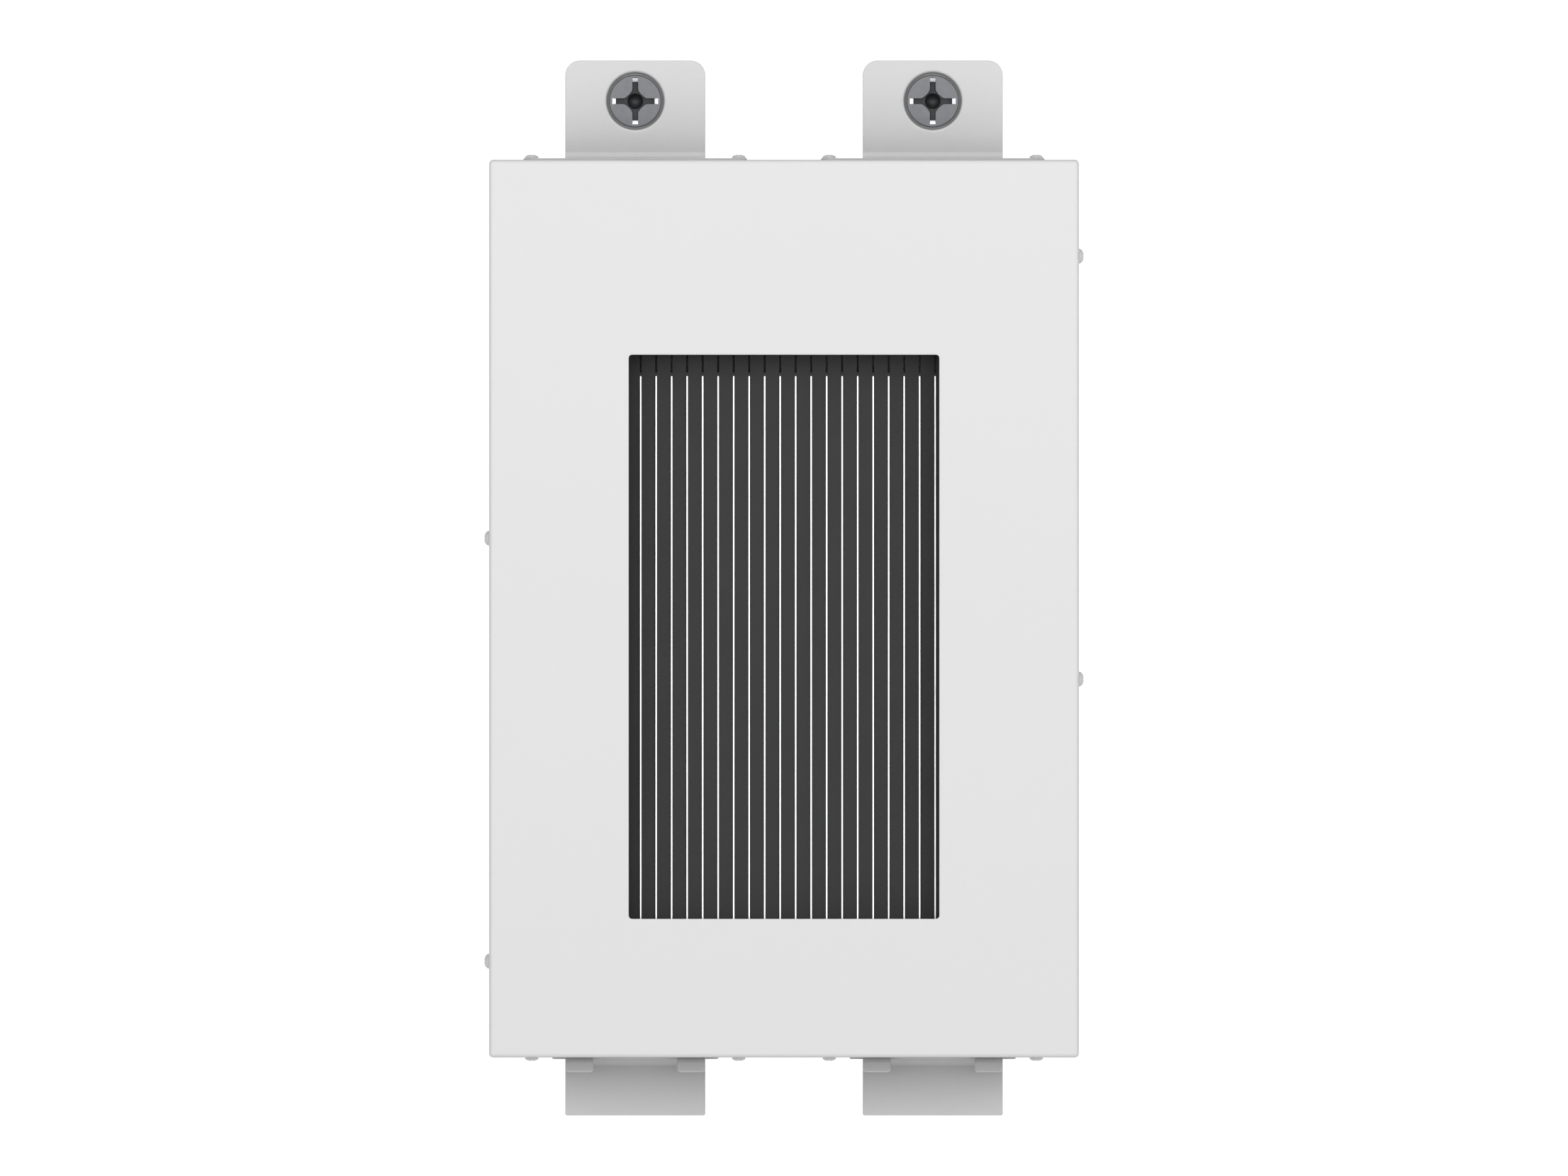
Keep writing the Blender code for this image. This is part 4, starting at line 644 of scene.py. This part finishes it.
sheet_pieces = [
    ("front_cover", "cover_shell", 0.16 * MM),
    ("rear_chassis", "chassis_tray", 0.25 * MM),
    ("hanging_bracket_left", "left_hanging_tab", 0.3 * MM),
    ("hanging_bracket_right", "right_hanging_tab", 0.3 * MM),
    ("hook_bracket_left", "left_hook_tab", 0.4 * MM),
    ("hook_bracket_right", "right_hook_tab", 0.4 * MM),
    ("heatsink_guard", "slotted_guard", 0.0),
    ("heatsink", "finned_heatsink", 0.05 * MM),
    ("window_gasket", "foam_gasket", 0.3 * MM),
]
seat_of_tab = {joint["child"].split("_")[0]: Vector(joint["pos_m"])
               for joint in frame["record"]["behaviour"]["joints"]}
for node, name, edge in sheet_pieces:
    seat = seat_of_tab[node.rsplit("_", 1)[1]] if node.startswith("hanging") else None
    piece = soft_copy(node, name, edge, dish_at=seat)
    print(name, "faces:", len(piece.data.polygons))

# %% [markdown]
# ## The two mounting screws
# Each is a low-head machine screw with a large cross recess. The recess has four wings with sloped ends, which
# catch the light, and a deep conical pit. The sloped wing ends are a near-white metal, worn plating with a
# painted highlight, and the wing floors and the pit a dark zinc that is painted shade. The head's edge is
# rounded and its face is turned flat. Behind the dished seat the shank carries a rolled thread, visible only
# from behind.

# %% Mounting screws
THREAD_PITCH = 1.25 * MM
THREAD_DEPTH = 0.6 * MM
SHANK_RADIUS = 4.0 * MM
HEAD_HEIGHT = 1.6 * MM
HEAD_EDGE = 0.4 * MM
SCREW_STEPS = 96
SEAT_GAP = 0.03 * MM


WING_LEVELS = [(d * MM, r * MM, h * MM) for d, r, h in
               ((-0.4, 7.75, 0.9), (0.0, 7.0, 0.875), (0.5, 5.9, 0.84), (1.25, 5.75, 0.76))]
PIT_LEVELS = [(r * MM, d * MM) for r, d in
              ((2.85, -0.4), (2.8, 0.0), (2.6, 0.9), (2.0, 1.9), (1.1, 2.7), (0.0, 3.0))]
# worn plating with a painted highlight: a near-white metal for the sloped wing ends that face the front
worn_and_highlight_zinc = drawn_metal("worn_and_highlight_zinc", (0.97, 0.97, 0.98), 0.5, 0.1 * MM, 0.4 * MM)
# painted shade: a dark zinc for the wing floors and the pit of the cross recess
recess_painted_shade_zinc = turned_metal("recess_painted_shade_zinc", (0.058, 0.059, 0.062), 0.5)


def thread(angle, y):
    """A rolled thread's depth below the crest: zero near the head and rounded at root and crest."""
    runout = min(max((y - 1.6 * MM) / THREAD_PITCH, 0.0), 1.0)
    phase = y / THREAD_PITCH - angle / (2 * math.pi)
    return -THREAD_DEPTH * runout * (0.5 - 0.5 * math.cos(2 * math.pi * phase))


def mounting_screw_mesh(radius, length):
    top = -SEAT_GAP - HEAD_HEIGHT
    profile = [(0.0, top), (radius * 0.5, top)]
    profile += quarter_round((radius - HEAD_EDGE, top + HEAD_EDGE), HEAD_EDGE, -90, 0, 6)
    profile += [(radius, -SEAT_GAP - 0.1 * MM), (radius - 0.1 * MM, -SEAT_GAP), (SHANK_RADIUS, -SEAT_GAP)]
    rows = int(length / THREAD_PITCH * 12)
    profile += [(SHANK_RADIUS, length * (i + 1) / rows) for i in range(rows - 6)]
    profile += [(SHANK_RADIUS - 0.9 * MM, length), (0.0, length)]
    screw = turned("mounting_screw", profile, SCREW_STEPS, None)
    for vertex in screw.vertices:
        x, y, z = vertex.co
        reach = math.hypot(x, z)
        if y > 0.0 and abs(reach - SHANK_RADIUS) < 0.01 * MM:
            share = (reach + thread(math.atan2(z, x), y)) / reach
            vertex.co = (x * share, y, z * share)
    screw = combine(screw, "DIFFERENCE", *cross_recess(top, WING_LEVELS, PIT_LEVELS, 0.5 * MM))
    screw.materials.clear()
    screw.materials.append(finishes["zinc_plated"])
    screw.materials.append(worn_and_highlight_zinc)
    screw.materials.append(recess_painted_shade_zinc)
    for face in screw.polygons:
        reach = math.hypot(face.center.x, face.center.z)
        depth = face.center.y - top
        # the sloped wing ends take the near-white metal: worn plating with a painted highlight
        if -0.98 < face.normal.y < -0.5 and 5.8 * MM < reach < 7.1 * MM and depth > 0.05 * MM:
            face.material_index = 1
        # the pit and the wing floors take the dark zinc as painted shade
        elif 0.05 * MM < depth < 5.0 * MM and (reach < 2.75 * MM or (reach < 5.9 * MM and depth < 1.3 * MM)):
            face.material_index = 2
    return screw


left_low, left_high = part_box("mounting_screw_left")
screw_mesh = mounting_screw_mesh((left_high.x - left_low.x) / 2, left_high.y - left_low.y - HEAD_HEIGHT)
for joint in frame["record"]["behaviour"]["joints"]:
    node = "mounting_screw_" + joint["child"].split("_")[0]
    piece = place(screw_mesh, joint["child"] + "_fine", joint["pos_m"], (0.0, 0.0, 0.0), finishes["zinc_plated"],
                  joint["child"], node)
    print(piece.name, "faces:", len(piece.data.polygons))

# %% [markdown]
# ## The twelve case screws
# Small button-head screws, painted with the case, seen edge-on all round the outline. Those in the side walls
# have a faint flange at the foot of the dome that spreads the load. Those at the top and bottom are lower and
# have almost none. A small cross recess takes the driver.

# %% Case screws
CASE_SCREW_STEPS = 40
SKIRT = 0.16 * MM


def case_screw_mesh(radius, height, flange, length):
    top = -height
    profile = [(0.0, top)]
    for step in range(1, 9):
        angle = math.pi / 2 * step / 8
        profile.append((radius * math.sin(angle), -SKIRT + (top + SKIRT) * math.cos(angle)))
    profile += [(radius + flange, -SKIRT * 0.6), (radius + flange, -SEAT_GAP), (1.25 * MM, -SEAT_GAP),
                (1.25 * MM, length - 0.5 * MM), (0.8 * MM, length), (0.0, length)]
    screw = turned("case_screw", profile, CASE_SCREW_STEPS)
    wings = [(-0.2 * MM, 1.3 * MM, 0.26 * MM), (0.7 * MM, 0.8 * MM, 0.2 * MM)]
    pit = [(0.5 * MM, -0.2 * MM), (0.5 * MM, 0.0), (0.3 * MM, 0.8 * MM), (0.0, 1.0 * MM)]
    return combine(screw, "DIFFERENCE", *cross_recess(top, wings, pit, 0.1 * MM))


def outward(node):
    """The wall that a case screw's head stands on, as a unit vector."""
    for key, way in (("bracket", (0, 0, 1)), ("bottom", (0, 0, -1))):
        if node.startswith(key):
            return Vector(way)
    low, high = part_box(node)
    return Vector((math.copysign(1.0, low.x + high.x), 0, 0))


side_screw = case_screw_mesh(2.2 * MM, 1.5 * MM, 0.28 * MM, 6.0 * MM)
end_screw = case_screw_mesh(2.05 * MM, 1.05 * MM, 0.04 * MM, 6.0 * MM)
case_screws = sorted(n for n in frame["nodes"] if n.startswith("bracket_screw") or "cover_screw" in n)
for node in case_screws:
    low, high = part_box(node)
    way = outward(node)
    seat = (low + high) / 2
    size = high - low
    head_out = max(abs(way.x) * size.x, abs(way.z) * size.z) / 2
    foot = seat + way * (head_out - 1.5 * MM)
    turn = Vector((0, -1, 0)).rotation_difference(way).to_euler()
    mesh = (side_screw if way.x else end_screw).copy()
    place(mesh, node + "_fine", foot, turn, finishes[slots[node]], body_of_node(node), node)
print("case screws:", len(case_screws))

# %% [markdown]
# ## Rivets and grommets
# The rivets hold the hook tabs and sit behind their ears. The grommets are soft rubber rings in the strip of the
# bottom wall behind the cover, closed by a thin membrane until a lead is pushed through.

# %% Rivets and grommets
small_pieces = [(n, n + "_fine", 0.12 * MM) for n in sorted(frame["nodes"])
                if n.startswith("hook_rivet") or n.endswith("grommet") or "grommet_" in n]
for node, name, edge in small_pieces:
    soft_copy(node, name, edge)
print("small pieces:", [name for _, name, _ in small_pieces])
